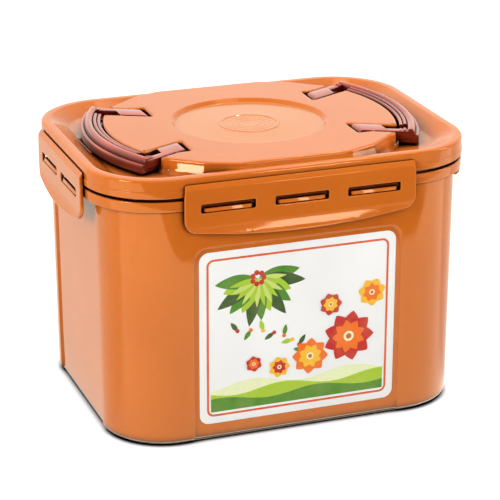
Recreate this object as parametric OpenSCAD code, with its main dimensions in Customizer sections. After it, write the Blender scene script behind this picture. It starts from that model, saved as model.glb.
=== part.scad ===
// Rectangular kimchi container: drafted tub, four-flap outer lid with two bail handles,
// and a sliding press lid with a soft seal and a vent plug.
// Millimetres. Origin at the centre of the foot, +Z up, the labelled front faces -Y.

/* [Tub] */
// Width of the tub at its foot, left to right
tub_w = 260; // [256:1:264]
// Depth of the tub at its foot, front to back
tub_d = 200; // [198:1:206]
// Height of the top edge of the tub
tub_h = 184.5; // [176:0.5:200]
// Outer corner radius at the foot
tub_corner_r = 45; // [43:1:47]
// Wall thickness at the foot
wall = 3.5; // [3:0.1:4]
// Floor thickness
floor_t = 3.4; // [2.5:0.1:5]
// Outward lean of the outer walls, mm for each 100 mm of height
draft_out = 0.9; // [0.6:0.1:1]
// Outward lean of the inner walls, mm for each 100 mm of height
draft_in = 0.3; // [0.1:0.05:0.4]
// Radius of the outer bottom edge
edge_r = 3.5; // [2:0.5:5]
// Radius of the inner bottom edge
inner_edge_r = 8; // [4:1:12]
// Height of the foot ring
foot_h = 2.4; // [1.5:0.1:4]
// How far the foot ring stands in from the wall
foot_inset = 5; // [4:0.5:8]
// Width of the foot ring
foot_w = 12; // [8:1:20]

/* [Tub rim] */
// Distance from the tub's top edge down to the top of the rim band
band_drop = 4.5; // [4.2:0.1:5]
// Height of the rim band
band_h = 7.5; // [6.5:0.5:8]
// How far the rim band stands in from the lid's skirt
band_inset = 0.5; // [0.3:0.1:0.8]
// Skin thickness of the hollow part of the rim band
band_skin = 2; // [1.6:0.1:3]
// Thickness of the solid part of the rim band next to the wall
band_root = 0.8; // [0.6:0.1:1.5]
// Length of the hollow under the rim band at the left and right
core_l = 100; // [60:5:108]
// Radius of the upper outer edge of the rim band
band_edge = 0.8; // [0.4:0.1:1.2]
// Thickness of the tub's lip inside the lid
lip_t = 2.8; // [2.2:0.1:3]

/* [Wall panels and label] */
// Depth of the sunk wall panels
panel_depth = 1.35; // [0.6:0.05:1.6]
// Width of the front and back panels
panel_front_w = 151; // [146:1:160]
// Width of the side panels
panel_side_w = 108; // [90:1:109]
// Height of the front and back panels above the label's upper edge
panel_over = 3.2; // [2:0.1:5]
// Radius of the upper corners of the front and back panels
panel_r = 9; // [7:0.5:12]
// Width of the bevel along each panel edge
panel_bevel = 1.2; // [0.6:0.1:2]
// Width of the label
label_w = 145; // [100:1:145]
// Height of the label
label_h = 127.3; // [80:0.1:130]
// Height of the label's lower edge
label_z = 12.7; // [10:0.1:16]
// Corner radius of the label
label_r = 7; // [3:0.5:12]
// Thickness of the label
label_t = 0.25; // [0.15:0.05:0.4]

/* [Outer lid] */
// How much wider the lid's skirt is than the tub's foot, left to right
lid_over_w = 18; // [17:0.5:20]
// How much deeper the lid's skirt is than the tub's foot, front to back
lid_over_d = 6; // [6:0.5:8]
// How much larger the skirt's corner radius is than the tub's
lid_over_r = 7; // [6.5:0.5:8]
// Gap between the skirt's lower edge and the tub's rim band
skirt_gap = 2.2; // [1.6:0.1:2.4]
// Height of the rim from the skirt's lower edge to the ridge
skirt_h = 13.3; // [13:0.1:13.7]
// Height of the skirt's proud lower band
skirt_step_h = 4.7; // [4:0.1:5.2]
// How far the rim stands in above the skirt's proud lower band
skirt_step = 0.45; // [0.3:0.05:0.6]
// Height of the flat top above the rim's ridge
top_rise = 3.5; // [3.2:0.1:4]
// Radius of the rounded outer edge of the rim
rim_round = 4.5; // [3:0.5:5]
// Shell thickness of the lid
lid_t = 2.4; // [2:0.1:2.6]
// Distance from the skirt in to the edge of the flat top, at front and back
shoulder = 9.9; // [9:0.1:11]
// Half the length of the straight front edge of the flat top
top_edge_x = 40; // [34:1:46]
// Outer point of the flat top's slant corner: distance in from the skirt's side
top_corner_in_x = 57; // [55:0.5:58]
// Outer point of the flat top's slant corner: distance in from the skirt's front
top_corner_in_y = 36.2; // [35:0.1:37]
// Inner point of the flat top's slant corner: distance in from the skirt's side
top_bend_in_x = 77; // [75:0.5:79]
// Inner point of the flat top's slant corner: distance in from the skirt's front
top_bend_in_y = 19; // [18:0.1:20]
// Depth of the sunk trough around the flat top, below the rim's ridge
trough_depth = 6.9; // [6.7:0.1:7.1]
// Width of the trough's sloping outer side
trough_slope = 13.5; // [10:0.5:15]
// Width of the rim's ridge
ridge_w = 3; // [2:0.5:4]
// Diameter of the round recess
recess_dia = 112; // [90:1:114]
// Depth of the round recess
recess_depth = 2.8; // [1.5:0.1:3]
// Diameter of the raised ring in the recess
ring_dia = 43; // [30:1:60]
// Height of the raised ring in the recess
ring_h = 0.45; // [0.3:0.05:1]
// Width of the raised ring in the recess
ring_w = 1.2; // [0.8:0.1:3]
// How far the plug wall reaches down into the tub's mouth
plug_drop = 7.5; // [5:0.5:8]
// Thickness of the plug wall
plug_t = 2.2; // [1.8:0.1:2.4]
// Gap between the plug wall and the tub's lip
plug_gap = 0.8; // [0.5:0.1:1.2]

/* [Latch flaps] */
// Width of the front and back flaps
flap_front_w = 168; // [150:1:172]
// Width of the left and right flaps
flap_side_w = 110; // [96:1:112]
// Thickness of a flap
flap_t = 2.6; // [2.2:0.1:3]
// Gap between a closed flap and the skirt
flap_gap = 0.4; // [0.3:0.05:0.5]
// Distance from the rim's ridge down to the hinge line of the flaps
hinge_drop = 6; // [5.6:0.1:6.4]
// Height of a flap from its hinge line to its lower edge, at its middle
flap_h = 37; // [34:0.5:41]
// Rise of the curved lower edge towards the flap's ends
flap_sag = 5.5; // [3:0.5:8]
// Radius of a flap's lower corners
flap_corner_r = 9; // [6:0.5:12]
// Height of the pull edge, which leans out
pull_h = 11.5; // [8:0.5:13]
// How far the pull edge leans out
flare = 3.5; // [2:0.5:5]
// How far the upper corners of a flap lean in
flap_taper = 0.8; // [0.2:0.1:1.5]
// Height of the part of a flap that leans in
flap_taper_h = 8; // [4:1:9]

/* [Slots and catches] */
// Length of a slot
slot_l = 39; // [30:1:40]
// Height of a slot
slot_h = 6.2; // [5.6:0.1:6.5]
// How far a slot's lower edge lies below the rim band
slot_drop = 1.8; // [1.6:0.1:2]
// Distance between the slots of a front or back flap
slot_pitch_front = 53; // [46:1:56]
// Distance between the slots of a side flap
slot_pitch_side = 50; // [46:1:54]
// Width of the bevel around a slot
slot_bevel = 0.5; // [0.3:0.1:0.8]
// How far a catch reaches out from the rim band
catch_reach = 3; // [2:0.1:3.2]
// Gap between a catch and the slot's lower edge
catch_gap = 0.6; // [0.4:0.05:0.8]
// Gap between a catch and each end of the slot
catch_end_gap = 1.6; // [1:0.1:3]
// Height of a catch
catch_h = 2.9; // [2.4:0.1:3.4]
// Length of the taper at each end of a catch
catch_taper = 2; // [1:0.5:4]

/* [Handles] */
// Distance from the skirt's side in to a handle's outer edge
bow_rim_gap = 19; // [18:0.5:20]
// Distance from the middle of the lid to the centre of a handle's curve
bow_offset = 20; // [19:0.5:21]
// Width of the handle's grip
bow_w = 14.6; // [14.6:0.1:15]
// Gap between the grip's underside and the floor of the trough
bow_lift = 1.4; // [1.2:0.1:1.8]
// Height of the grip's highest rib above the flat top
bow_rise = 1.6; // [0.6:0.1:2.6]
// Angle between a leg and the left-right axis
leg_angle = 26.5; // [25:0.5:28]
// Width of a leg
leg_w = 14.6; // [12:0.2:15]
// Thickness of a leg
leg_t = 6.5; // [5:0.1:6.5]
// Distance from the skirt's side in to a handle's pivot line
pivot_in = 72; // [71:0.5:73]
// Radius of a pivot pin
pin_r = 1.6; // [1.3:0.1:1.8]
// Length of pin in the lid
pin_reach = 2.6; // [2:0.1:3]
// Radial clearance of a pin in its hole
pin_fit = 0.06; // [0.02:0.01:0.1]
// Gap around a leg in its channel
channel_gap = 1; // [0.9:0.1:1.2]
// Gap under a leg
under_gap = 0.75; // [0.5:0.05:1]
// Gap behind a leg's round heel
heel_gap = 1.75; // [1.75:0.05:2]
// Gap beside a leg's heel on its outer side, which lets the slant leg swing up
swing_gap = 2.9; // [2.9:0.1:3.4]
// Gap between the grip and the flat top's curved end
bow_gap = 1.2; // [0.8:0.1:1.6]
// Height of a handle's outer ledge below the flat top
bow_ledge_drop = 3; // [2.6:0.1:4]
// Width of a handle's outer ledge
bow_ledge_w = 2.6; // [2.2:0.1:2.6]
// Radius of the grip's broad rib
rib_r = 2.8; // [2.5:0.1:2.8]
// Radius of the grip's middle rib
rib_mid_r = 1.2; // [0.9:0.1:1.2]
// Radius of the grip's inner rib
rib_in_r = 1.3; // [1:0.1:1.3]
// Depth of the hollow between a leg and the ribs
pocket_depth = 4; // [2:0.5:4.5]
// Length of the hollow between a leg and the ribs
pocket_l = 10; // [8:1:12]

/* [Gasket] */
// Width of the lid's gasket
gasket_w = 3.4; // [2.6:0.1:3.6]
// Height of the lid's gasket
gasket_h = 3.2; // [3:0.1:3.4]
// Gap between the gasket and the tub's lip
gasket_gap = 0.3; // [0.2:0.05:0.5]

/* [Press lid] */
// Distance from the tub's top edge down to the press plate's underside, at rest
press_drop = 34.5; // [33:0.5:44]
// Thickness of the press plate
press_t = 2.4; // [2:0.1:3]
// Height of the press lid's wall
press_h = 18; // [14:1:20]
// Distance from the press lid's wall to the tub's wall
press_inset = 5; // [4:0.5:8]
// Depth of the seal's channel
seal_channel = 2.4; // [1.8:0.1:3]
// Gap between the seal's lips and the tub's wall at the lowest place
seal_gap = 0.3; // [0.2:0.05:0.5]
// Lowest place of the press plate above the tub's floor
press_low = 6; // [2:1:40]
// Length of the finger grip
grip_l = 96; // [70:1:110]
// Radius of the grip's outer corners
grip_corner_r = 6; // [3:0.5:8]
// Thickness of the grip's posts at the top
grip_post_t = 7; // [5:0.5:9]
// Spread of the grip's posts towards the plate
grip_spread = 4; // [1:0.5:6]
// Width of the finger grip
grip_w = 16; // [12:1:22]
// Height of the finger grip above the press plate
grip_h = 20; // [16:1:22]
// Thickness of the finger grip's bar
grip_t = 5; // [4:0.5:7]
// Distance of the vent from the middle
vent_x = 82; // [70:1:90]
// Radius of the vent hole
vent_r = 6; // [4:0.5:8]
// Height of the collar around the vent
collar_h = 4; // [3:0.5:6]
// Thickness of the collar around the vent
collar_t = 2.5; // [2:0.1:4]
// Radius of the vent plug's head
plug_head_r = 10; // [9:0.5:13]
// Radial clearance of the vent plug in its hole
plug_fit = 0.05; // [0.02:0.01:0.1]
// Thickness of the vent plug's head
plug_head_t = 2.7; // [2:0.1:4]
// Radius of the vent plug's knob
knob_r = 3.6; // [3:0.1:5]

/* [Hidden] */
$fn = 64;
hair = 0.01;
over = 1;
seat = 0.04;
shoulder_lead = 1.5;
draft_base = 100;
corner_turn = 80;
rib_mid_drop = 0.7;
rib_in_drop = 1.3;
rib_dip = 1;
rib_in_dip = 1.4;
orange = [0.86, 0.47, 0.24];

// The lid's skirt follows the tub; corner centres of both
lid_w = tub_w + lid_over_w;
lid_d = tub_d + lid_over_d;
lid_corner_r = tub_corner_r + lid_over_r;
tub_cx = tub_w / 2 - tub_corner_r;
tub_cy = tub_d / 2 - tub_corner_r;
lid_cx = lid_w / 2 - lid_corner_r;
lid_cy = lid_d / 2 - lid_corner_r;

// Heights that follow one another
band_top_z = tub_h - band_drop;
band_z = band_top_z - band_h;
skirt_z = band_top_z + skirt_gap;
ridge_z = skirt_z + skirt_h;
top_z = ridge_z + top_rise;
trough_z = ridge_z - trough_depth;
plug_z = tub_h - plug_drop;
gasket_z = tub_h + gasket_gap;
groove_z = gasket_z + gasket_h;
hinge_z = ridge_z - hinge_drop;
flap_bottom_z = hinge_z - flap_h;
crease_z = flap_bottom_z + pull_h;
slot_z = band_z - slot_drop;
bow_z = trough_z + bow_lift;
bow_top_z = top_z + bow_rise;
press_z = tub_h - press_drop;

// Radii and places that follow
band_r = lid_corner_r - band_inset;
floor_z = foot_h + floor_t;
wall_angle = atan(draft_out / draft_base);
lip_in = inner_r(tub_h);
skirt_in = lid_corner_r - lid_t;
plug_out = lip_in - plug_gap;
ridge_in = lid_corner_r - rim_round - ridge_w;
trough_r = ridge_in - trough_slope;
shoulder_r = lid_corner_r - shoulder;
shoulder_foot_r = lid_corner_r - rim_round - shoulder_lead;
recess_z = top_z - recess_depth;
bow_r = lid_w / 2 - bow_rim_gap + bow_offset;
bow_in = bow_r - bow_w;
end_r = bow_in - bow_gap;
pivot_z = top_z - leg_t / 2;
leg_half_y = leg_w / 2 / cos(leg_angle);
pivot_x = lid_w / 2 - pivot_in;
heel_x = pivot_x - leg_t / 2 - heel_gap;
pivot_mid_y = (pivot_x + bow_offset) * tan(leg_angle);
relief_l = 0.7 * leg_t;
heel_r = leg_t / 2 - 0.1;
pin_half = leg_half_y + swing_gap + pin_reach;
pin_end_gap = 0.4;
pocket_w = 0.6 * leg_w;
corner_lead = 1.3;
soft_edge = 0.6;
rib_gap = 0.4;
catch_root = 1.5;
flap_face_y = lid_d / 2 + flap_gap;
flap_face_x = lid_w / 2 + flap_gap;
catch_z = slot_z + catch_gap;
seal_r = inner_r(floor_z + press_low) - seal_gap;
press_r = inner_r(press_z) - press_inset;
press_chamfer = 3;
flange_t = 2;
seal_low = press_z + press_chamfer + flange_t;
seal_high = press_z + press_h - 2 * flange_t;

function outer_r(z) = tub_corner_r + draft_out * z / draft_base;
function inner_r(z) = tub_corner_r - wall + draft_in * z / draft_base;
// Points of an arc about a centre, from one angle to another
function arc(cx, cy, r, from, to, steps = 6) =
    [for (i = [0:steps]) let (t = from + (to - from) * i / steps) [cx + r * cos(t), cy + r * sin(t)]];

// A rounded rectangle whose side profile is a list of [radius, height] points, filled to the middle
module rounded_block(cx, cy, profile) {
    low = profile[0][1];
    high = profile[len(profile) - 1][1];
    for (turn = [0:3])
        mirror([turn % 2, 0, 0])
            mirror([0, floor(turn / 2), 0])
                translate([cx, cy, 0])
                    rotate_extrude(angle = 90)
                        polygon(concat([[0, low]], profile, [[0, high]]));
    block_slab(cx, [for (p = profile) [p[0] + cy, p[1]]]);
    rotate([0, 0, 90])
        block_slab(cy, [for (p = profile) [p[0] + cx, p[1]]]);
}

// A slab between two corners, symmetrical about its own middle plane
module block_slab(half, profile) {
    last = len(profile) - 1;
    rotate([90, 0, 90])
        translate([0, 0, -half])
            linear_extrude(2 * half)
                polygon(concat(profile, [for (i = [last:-1:0]) [-profile[i][0], profile[i][1]]]));
}

// A ring around a rounded rectangle, its section a closed list of [radius, height] points
module rounded_ring(cx, cy, section) {
    for (turn = [0:3])
        mirror([turn % 2, 0, 0])
            mirror([0, floor(turn / 2), 0])
                translate([cx, cy, 0])
                    rotate_extrude(angle = 90)
                        polygon(section);
    for (side = [0:1]) {
        mirror([0, side, 0])
            ring_run(cx, cy, section);
        mirror([side, 0, 0])
            rotate([0, 0, -90])
                ring_run(cy, cx, section);
    }
}

// One straight run of a ring, on the far side
module ring_run(half, reach, section) {
    translate([-half, reach, 0])
        rotate([90, 0, 90])
            linear_extrude(2 * half)
                polygon(section);
}

module rounded_plate(w, h, r, t) {
    linear_extrude(t) {
        square([w - 2 * r, h], center = true);
        square([w, h - 2 * r], center = true);
        for (x = [-1, 1], y = [-1, 1])
            translate([x * (w / 2 - r), y * (h / 2 - r)])
                circle(r);
    }
}

// Four sides in turn: 0 front, 1 right, 2 back, 3 left; children are drawn on the front
module on_side(side) {
    rotate([0, 0, 90 * side])
        children();
}

// Tub

module tub_shell() {
    difference() {
        rounded_block(tub_cx, tub_cy, concat(
            arc(tub_corner_r - edge_r, foot_h + edge_r, edge_r, -90, 0),
            [[outer_r(band_top_z), band_top_z]]));
        for (side = [0, 2])
            on_side(side)
                round_panel_cut();
        for (side = [1, 3])
            on_side(side)
                side_panel_cut();
    }
}

// Sunk panel for the label, leaning with the wall: round upper corners, open at the foot
module round_panel_cut() {
    high = label_z + label_h + panel_over;
    low = -3 * panel_r;
    translate([0, -tub_d / 2, 0])
        rotate([90 + wall_angle, 0, 0])
            translate([0, (high + low) / 2, 0])
                rounded_block(panel_front_w / 2 - panel_r, (high - low) / 2 - panel_r, [
                    [panel_r, -panel_depth], [panel_r + panel_bevel, 0],
                    [panel_r + 2 * panel_bevel, over]]);
}

// Sunk panel of the left and right sides, leaning with the wall, from the foot to the rim band
module side_panel_cut() {
    half = panel_side_w / 2;
    translate([0, -tub_w / 2, 0])
        rotate([wall_angle, 0, 0])
            translate([0, 0, -over])
                linear_extrude(band_z + 2 * over)
                    polygon([[-half, panel_depth], [half, panel_depth], [half + panel_bevel, 0],
                             [half + 2 * panel_bevel, -over], [-half - 2 * panel_bevel, -over],
                             [-half - panel_bevel, 0]]);
}

module foot() {
    out = tub_corner_r - foot_inset;
    rounded_ring(tub_cx, tub_cy, [
        [out - foot_w, 0], [out, 0], [out, foot_h + over], [out - foot_w, foot_h + over]]);
}

module rim_band() {
    difference() {
        rounded_block(lid_cx, lid_cy, concat(
            [[band_r, band_z]],
            arc(band_r - band_edge, band_top_z - band_edge, band_edge, 0, 90, 3)));
        band_cores();
    }
}

// Hollows under the band at the left and right, where it is thick
module band_cores() {
    in = tub_cx + outer_r(band_top_z) + band_root;
    out = lid_cx + band_r - band_skin;
    for (side = [-1, 1])
        translate([side * (in + out) / 2 - (out - in) / 2, -core_l / 2, band_z - over])
            cube([out - in, core_l, band_h - band_skin + over]);
}

module lip() {
    out = lip_in + lip_t;
    rounded_block(tub_cx, tub_cy, concat(
        [[out, band_top_z - over], [out, tub_h - lip_t / 2]],
        arc(out - lip_t / 2, tub_h - lip_t / 2, lip_t / 2, 30, 90, 3)));
}

module cavity() {
    rounded_block(tub_cx, tub_cy, concat(
        arc(inner_r(floor_z) - inner_edge_r, floor_z + inner_edge_r, inner_edge_r, -90, 0),
        [[inner_r(tub_h + over), tub_h + over]]));
}

// One catch on the front: a blunt ledge with tapering ends, at the given place along the side
module catch(place, reach) {
    half = slot_l / 2 - catch_end_gap;
    intersection() {
        translate([place, -reach, 0])
            rotate([90, 0, 90])
                translate([0, 0, -half])
                    linear_extrude(2 * half)
                        polygon([[catch_root, band_z + hair], [-0.2 * catch_reach, catch_z],
                                 [-catch_reach, catch_z + 0.3 * catch_h],
                                 [-catch_reach, catch_z + 0.75 * catch_h],
                                 [-0.88 * catch_reach, catch_z + 0.95 * catch_h],
                                 [0, catch_z + catch_h], [catch_root, catch_z + catch_h]]);
        translate([place, -reach, band_z - 2 * over])
            linear_extrude(band_h)
                polygon([[-half, catch_root], [half, catch_root], [half, -0.4 * catch_reach],
                         [half - catch_taper, -catch_reach], [catch_taper - half, -catch_reach],
                         [-half, -0.4 * catch_reach]]);
    }
}

module catches() {
    for (side = [0, 2], place = [-slot_pitch_front, 0, slot_pitch_front])
        on_side(side)
            catch(place, lid_cy + band_r);
    for (side = [1, 3], place = [-slot_pitch_side / 2, slot_pitch_side / 2])
        on_side(side)
            catch(place, lid_cx + band_r);
}

module tub() {
    color(orange)
        difference() {
            union() {
                tub_shell();
                foot();
                rim_band();
                lip();
                catches();
            }
            cavity();
        }
}

module label() {
    color("ivory")
        translate([0, panel_depth - tub_d / 2 - seat, 0])
            rotate([90 + wall_angle, 0, 0])
                translate([0, label_z + label_h / 2, 0])
                    rounded_plate(label_w, label_h, label_r, label_t);
}

// Outer lid

// Flat top in plan: straight front and back edges, slant corners, curved ends
module top_plan(grow = 0) {
    corner_angle = leg_angle + asin(leg_w / 2 / end_r) + corner_lead;
    edge_y = lid_d / 2 - shoulder + grow;
    quarter = concat(
        arc(-bow_offset, 0, end_r + grow, 0, corner_angle, 8),
        [[lid_w / 2 - top_corner_in_x + grow / 2, lid_d / 2 - top_corner_in_y + grow],
         [lid_w / 2 - top_bend_in_x + grow / 2, lid_d / 2 - top_bend_in_y + grow],
         [top_edge_x + grow / 3, edge_y],
         [top_edge_x + grow / 3, grow < 0 ? edge_y : lid_d / 2]]);
    last = len(quarter) - 1;
    polygon(concat(
        quarter,
        [for (i = [last:-1:0]) [-quarter[i][0], quarter[i][1]]],
        [for (p = quarter) [-p[0], -p[1]]],
        [for (i = [last:-1:0]) [quarter[i][0], -quarter[i][1]]]));
}

// Channel of one leg in plan, grown by a gap
module channel_plan(gap) {
    intersection() {
        translate([-bow_offset, 0])
            rotate(leg_angle)
                translate([0, -leg_w / 2 - gap])
                    square([bow_r + over, leg_w + 2 * gap]);
        translate([heel_x, 0])
            square([lid_w / 2, lid_d / 2]);
    }
    translate([heel_x, pivot_mid_y - leg_half_y - gap / 2])
        square([pivot_x + relief_l - heel_x, 2 * leg_half_y + 1.5 * gap + swing_gap - channel_gap]);
}

module each_leg() {
    for (x = [0, 1], y = [0, 1])
        mirror([x, 0, 0])
            mirror([0, y, 0])
                children();
}

module lid_blank() {
    upper_round = rim_round - skirt_step;
    rounded_block(lid_cx, lid_cy, concat(
        [[lid_corner_r - soft_edge, skirt_z], [lid_corner_r, skirt_z + soft_edge],
         [lid_corner_r, skirt_z + skirt_step_h],
         [lid_corner_r - skirt_step, skirt_z + skirt_step_h + skirt_step]],
        arc(lid_corner_r - rim_round, ridge_z - upper_round, upper_round, 0, 90)));
    intersection() {
        rounded_block(lid_cx, lid_cy, [
            [shoulder_foot_r, trough_z - over], [shoulder_foot_r, ridge_z],
            [shoulder_r + soft_edge, top_z - soft_edge / 2], [shoulder_r, top_z]]);
        translate([0, 0, trough_z - 2 * over])
            linear_extrude(top_z - trough_z + 4 * over)
                top_plan();
    }
}

module trough_cut() {
    foot_slope = 3;
    difference() {
        rounded_block(lid_cx, lid_cy, [
            [trough_r, trough_z], [trough_r + foot_slope, trough_z + soft_edge],
            [ridge_in, ridge_z - soft_edge / 2], [ridge_in + soft_edge, ridge_z],
            [ridge_in + soft_edge, top_z + over]]);
        translate([0, 0, trough_z - over])
            linear_extrude(top_z - trough_z + 3 * over)
                top_plan();
    }
}

module recess_cut() {
    translate([0, 0, recess_z])
        difference() {
            cylinder(r1 = recess_dia / 2 - recess_depth, r2 = recess_dia / 2 + over,
                     h = recess_depth + over);
            translate([0, 0, -over])
                difference() {
                    cylinder(d = ring_dia, h = ring_h + over);
                    translate([0, 0, -over])
                        cylinder(d = ring_dia - 2 * ring_w, h = 3 * over);
                }
        }
}

module channel_cuts() {
    each_leg()
        translate([0, 0, pivot_z - leg_t / 2 - under_gap])
            linear_extrude(leg_t + 3 * over)
                channel_plan(channel_gap);
}

module pin_holes() {
    each_leg()
        translate([pivot_x, pivot_mid_y, pivot_z])
            rotate([90, 0, 0])
                cylinder(r = pin_r + pin_fit, h = 2 * (pin_half + pin_end_gap), center = true);
}

// Hollow under the flat top, with the channels and the pin bosses left standing
module under_hollow() {
    translate([0, 0, plug_z])
        linear_extrude(top_z - lid_t - plug_z)
            difference() {
                top_plan(-lid_t);
                circle(d = recess_dia + 1.5 * lid_t);
                each_leg() {
                    channel_plan(channel_gap + lid_t);
                    translate([heel_x - lid_t, pivot_mid_y - pin_half - lid_t])
                        square([pivot_x + leg_t - heel_x + lid_t, 2 * (pin_half + lid_t)]);
                }
            }
    translate([0, 0, plug_z])
        cylinder(d = recess_dia - 2 * lid_t, h = recess_z - lid_t - plug_z);
    rounded_block(tub_cx, tub_cy, [
        [plug_out - plug_t, plug_z - over], [plug_out - plug_t, trough_z - lid_t]]);
}

// Groove between the skirt and the plug wall, open below
module gasket_groove() {
    difference() {
        rounded_block(lid_cx, lid_cy, [
            [skirt_in, plug_z - 2 * over], [skirt_in, groove_z - soft_edge],
            [skirt_in - soft_edge, groove_z]]);
        rounded_block(tub_cx, tub_cy, [[plug_out, plug_z - 3 * over], [plug_out, groove_z + over]]);
    }
}

module plug_wall() {
    rounded_block(tub_cx, tub_cy, [
        [plug_out - soft_edge, plug_z], [plug_out, plug_z + soft_edge], [plug_out, skirt_z + over]]);
}

module outer_lid() {
    color(orange)
        difference() {
            union() {
                lid_blank();
                plug_wall();
            }
            trough_cut();
            recess_cut();
            channel_cuts();
            under_hollow();
            gasket_groove();
            pin_holes();
        }
}

module lid_gasket() {
    in = plug_out + 0.1;
    out = in + gasket_w;
    color("gainsboro")
        rounded_ring(tub_cx, tub_cy, [
            [in, groove_z - seat], [in, gasket_z + soft_edge], [in + soft_edge, gasket_z],
            [out - soft_edge, gasket_z], [out, gasket_z + soft_edge], [out, groove_z - seat]]);
}

// Latch flaps, drawn on the front

module flap(w, pitch, count, reach) {
    difference() {
        intersection() {
            translate([0, -reach, 0])
                rotate([90, 0, 90])
                    translate([0, 0, -w / 2])
                        linear_extrude(w) {
                            polygon(flap_section());
                            translate([-flap_t / 2, hinge_z])
                                circle(flap_t / 2);
                        }
            flap_front(w, reach);
        }
        for (i = [0:count - 1])
            translate([(i - (count - 1) / 2) * pitch, -reach, slot_z + slot_h / 2])
                slot_cut();
    }
}

// Section of a flap below its round hinge edge as [depth, height] points, with a pull edge that leans out
function flap_section() =
    let (low = flap_bottom_z - over,
         drop = crease_z - low,
         bend = (drop * drop + flare * flare) / (2 * flare),
         lean = asin(drop / bend))
    concat(
        [[0, hinge_z], [-flap_t, hinge_z]],
        arc(-flap_t - bend, crease_z, bend, 0, -lean, 5),
        arc(-flap_t - bend, crease_z, bend + flap_t, -lean, 0, 5));

// Outline of a flap seen from the front: straight sides, curved lower edge, rounded lower corners
module flap_front(w, reach) {
    half = w / 2;
    low = flap_bottom_z;
    bend = (half * half + flap_sag * flap_sag) / (2 * flap_sag);
    end_angle = asin((half - flap_corner_r) / bend);
    corner_z = low + flap_sag + flap_corner_r;
    translate([0, over - reach, 0])
        rotate([90, 0, 0])
            linear_extrude(flap_t + flare + 2 * over)
                polygon(concat(
                    [[flap_taper - half, hinge_z + flap_t], [half - flap_taper, hinge_z + flap_t],
                     [half, hinge_z - flap_taper_h]],
                    arc(half - flap_corner_r, corner_z, flap_corner_r, 0, -corner_turn, 5),
                    [for (i = [8:-1:-8]) let (t = end_angle * i / 8)
                        [bend * sin(t), low + bend * (1 - cos(t))]],
                    arc(flap_corner_r - half, corner_z, flap_corner_r, corner_turn - 180, -180, 5),
                    [[-half, hinge_z - flap_taper_h]]));
}

// One slot with a bevel on its outer face
module slot_cut() {
    translate([-slot_l / 2, -flap_t - over, -slot_h / 2])
        cube([slot_l, flap_t + 2 * over, slot_h]);
    translate([0, -flap_t, 0])
        rotate([90, 0, 0])
            translate([0, 0, -slot_bevel])
                linear_extrude(slot_bevel + over)
                    square([slot_l + 2 * slot_bevel, slot_h + 2 * slot_bevel], center = true);
}

module latch_front() {
    color(orange)
        flap(flap_front_w, slot_pitch_front, 3, flap_face_y);
}

module latch_right() {
    color(orange)
        on_side(1)
            flap(flap_side_w, slot_pitch_side, 2, flap_face_x);
}

module latch_back() {
    color(orange)
        on_side(2)
            flap(flap_front_w, slot_pitch_front, 3, flap_face_y);
}

module latch_left() {
    color(orange)
        on_side(3)
            flap(flap_side_w, slot_pitch_side, 2, flap_face_x);
}

// Bail handle, drawn on the right

// Section of the grip as [radius, height] points: an outer ledge, a broad rib and two narrow ribs
function bow_section() =
    let (ledge_z = top_z - bow_ledge_drop,
         broad = bow_r - bow_ledge_w - rib_r,
         middle = broad - rib_r - rib_mid_r - rib_gap,
         inner = bow_in + rib_in_r)
    concat(
        [[bow_in, bow_z], [bow_r, bow_z], [bow_r, ledge_z - soft_edge], [bow_r - soft_edge, ledge_z]],
        arc(broad, bow_top_z - rib_r, rib_r, 0, 180, 6),
        [[broad - rib_r - rib_gap / 2, top_z - rib_dip]],
        arc(middle, bow_top_z - rib_mid_r - rib_mid_drop, rib_mid_r, 0, 180, 4),
        [[(middle - rib_mid_r + inner + rib_in_r) / 2, top_z - rib_in_dip]],
        arc(inner, bow_top_z - rib_in_r - rib_in_drop, rib_in_r, 20, 180, 4));

module bow() {
    half_angle = leg_angle + asin(leg_w / 2 / bow_r);
    translate([-bow_offset, 0, 0])
        rotate([0, 0, -half_angle])
            rotate_extrude(angle = 2 * half_angle, $fn = 180)
                polygon(bow_section());
}

// One leg with its round heel and pins; the heel ends short of the leg's sides
module leg() {
    low = pivot_z - leg_t / 2;
    heel_y = leg_half_y - soft_edge;
    intersection() {
        translate([-bow_offset, 0, low])
            rotate([0, 0, leg_angle])
                translate([0, -leg_w / 2, 0])
                    cube([bow_in + rib_in_r, leg_w, leg_t]);
        translate([pivot_x, 0, low - over])
            cube([lid_w, lid_d, leg_t + 2 * over]);
    }
    translate([pivot_x, pivot_mid_y, pivot_z])
        rotate([90, 0, 0]) {
            cylinder(r = heel_r, h = 2 * heel_y, center = true);
            cylinder(r = pin_r, h = 2 * pin_half, center = true);
        }
}

// Hollow on the inner side of a leg, where the narrow ribs end
module pocket() {
    translate([-bow_offset, 0, top_z - pocket_depth])
        rotate([0, 0, leg_angle])
            translate([bow_in - pocket_l, -leg_w / 2 - over, 0])
                cube([pocket_l + bow_w - 2 * rib_r - bow_ledge_w, pocket_w + over, bow_top_z]);
}

module handle_right() {
    color([0.45, 0.2, 0.12])
        difference() {
            union() {
                bow();
                for (y = [0, 1])
                    mirror([0, y, 0])
                        leg();
            }
            for (y = [0, 1])
                mirror([0, y, 0])
                    pocket();
        }
}

module handle_left() {
    mirror([1, 0, 0])
        handle_right();
}

// Press lid

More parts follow.
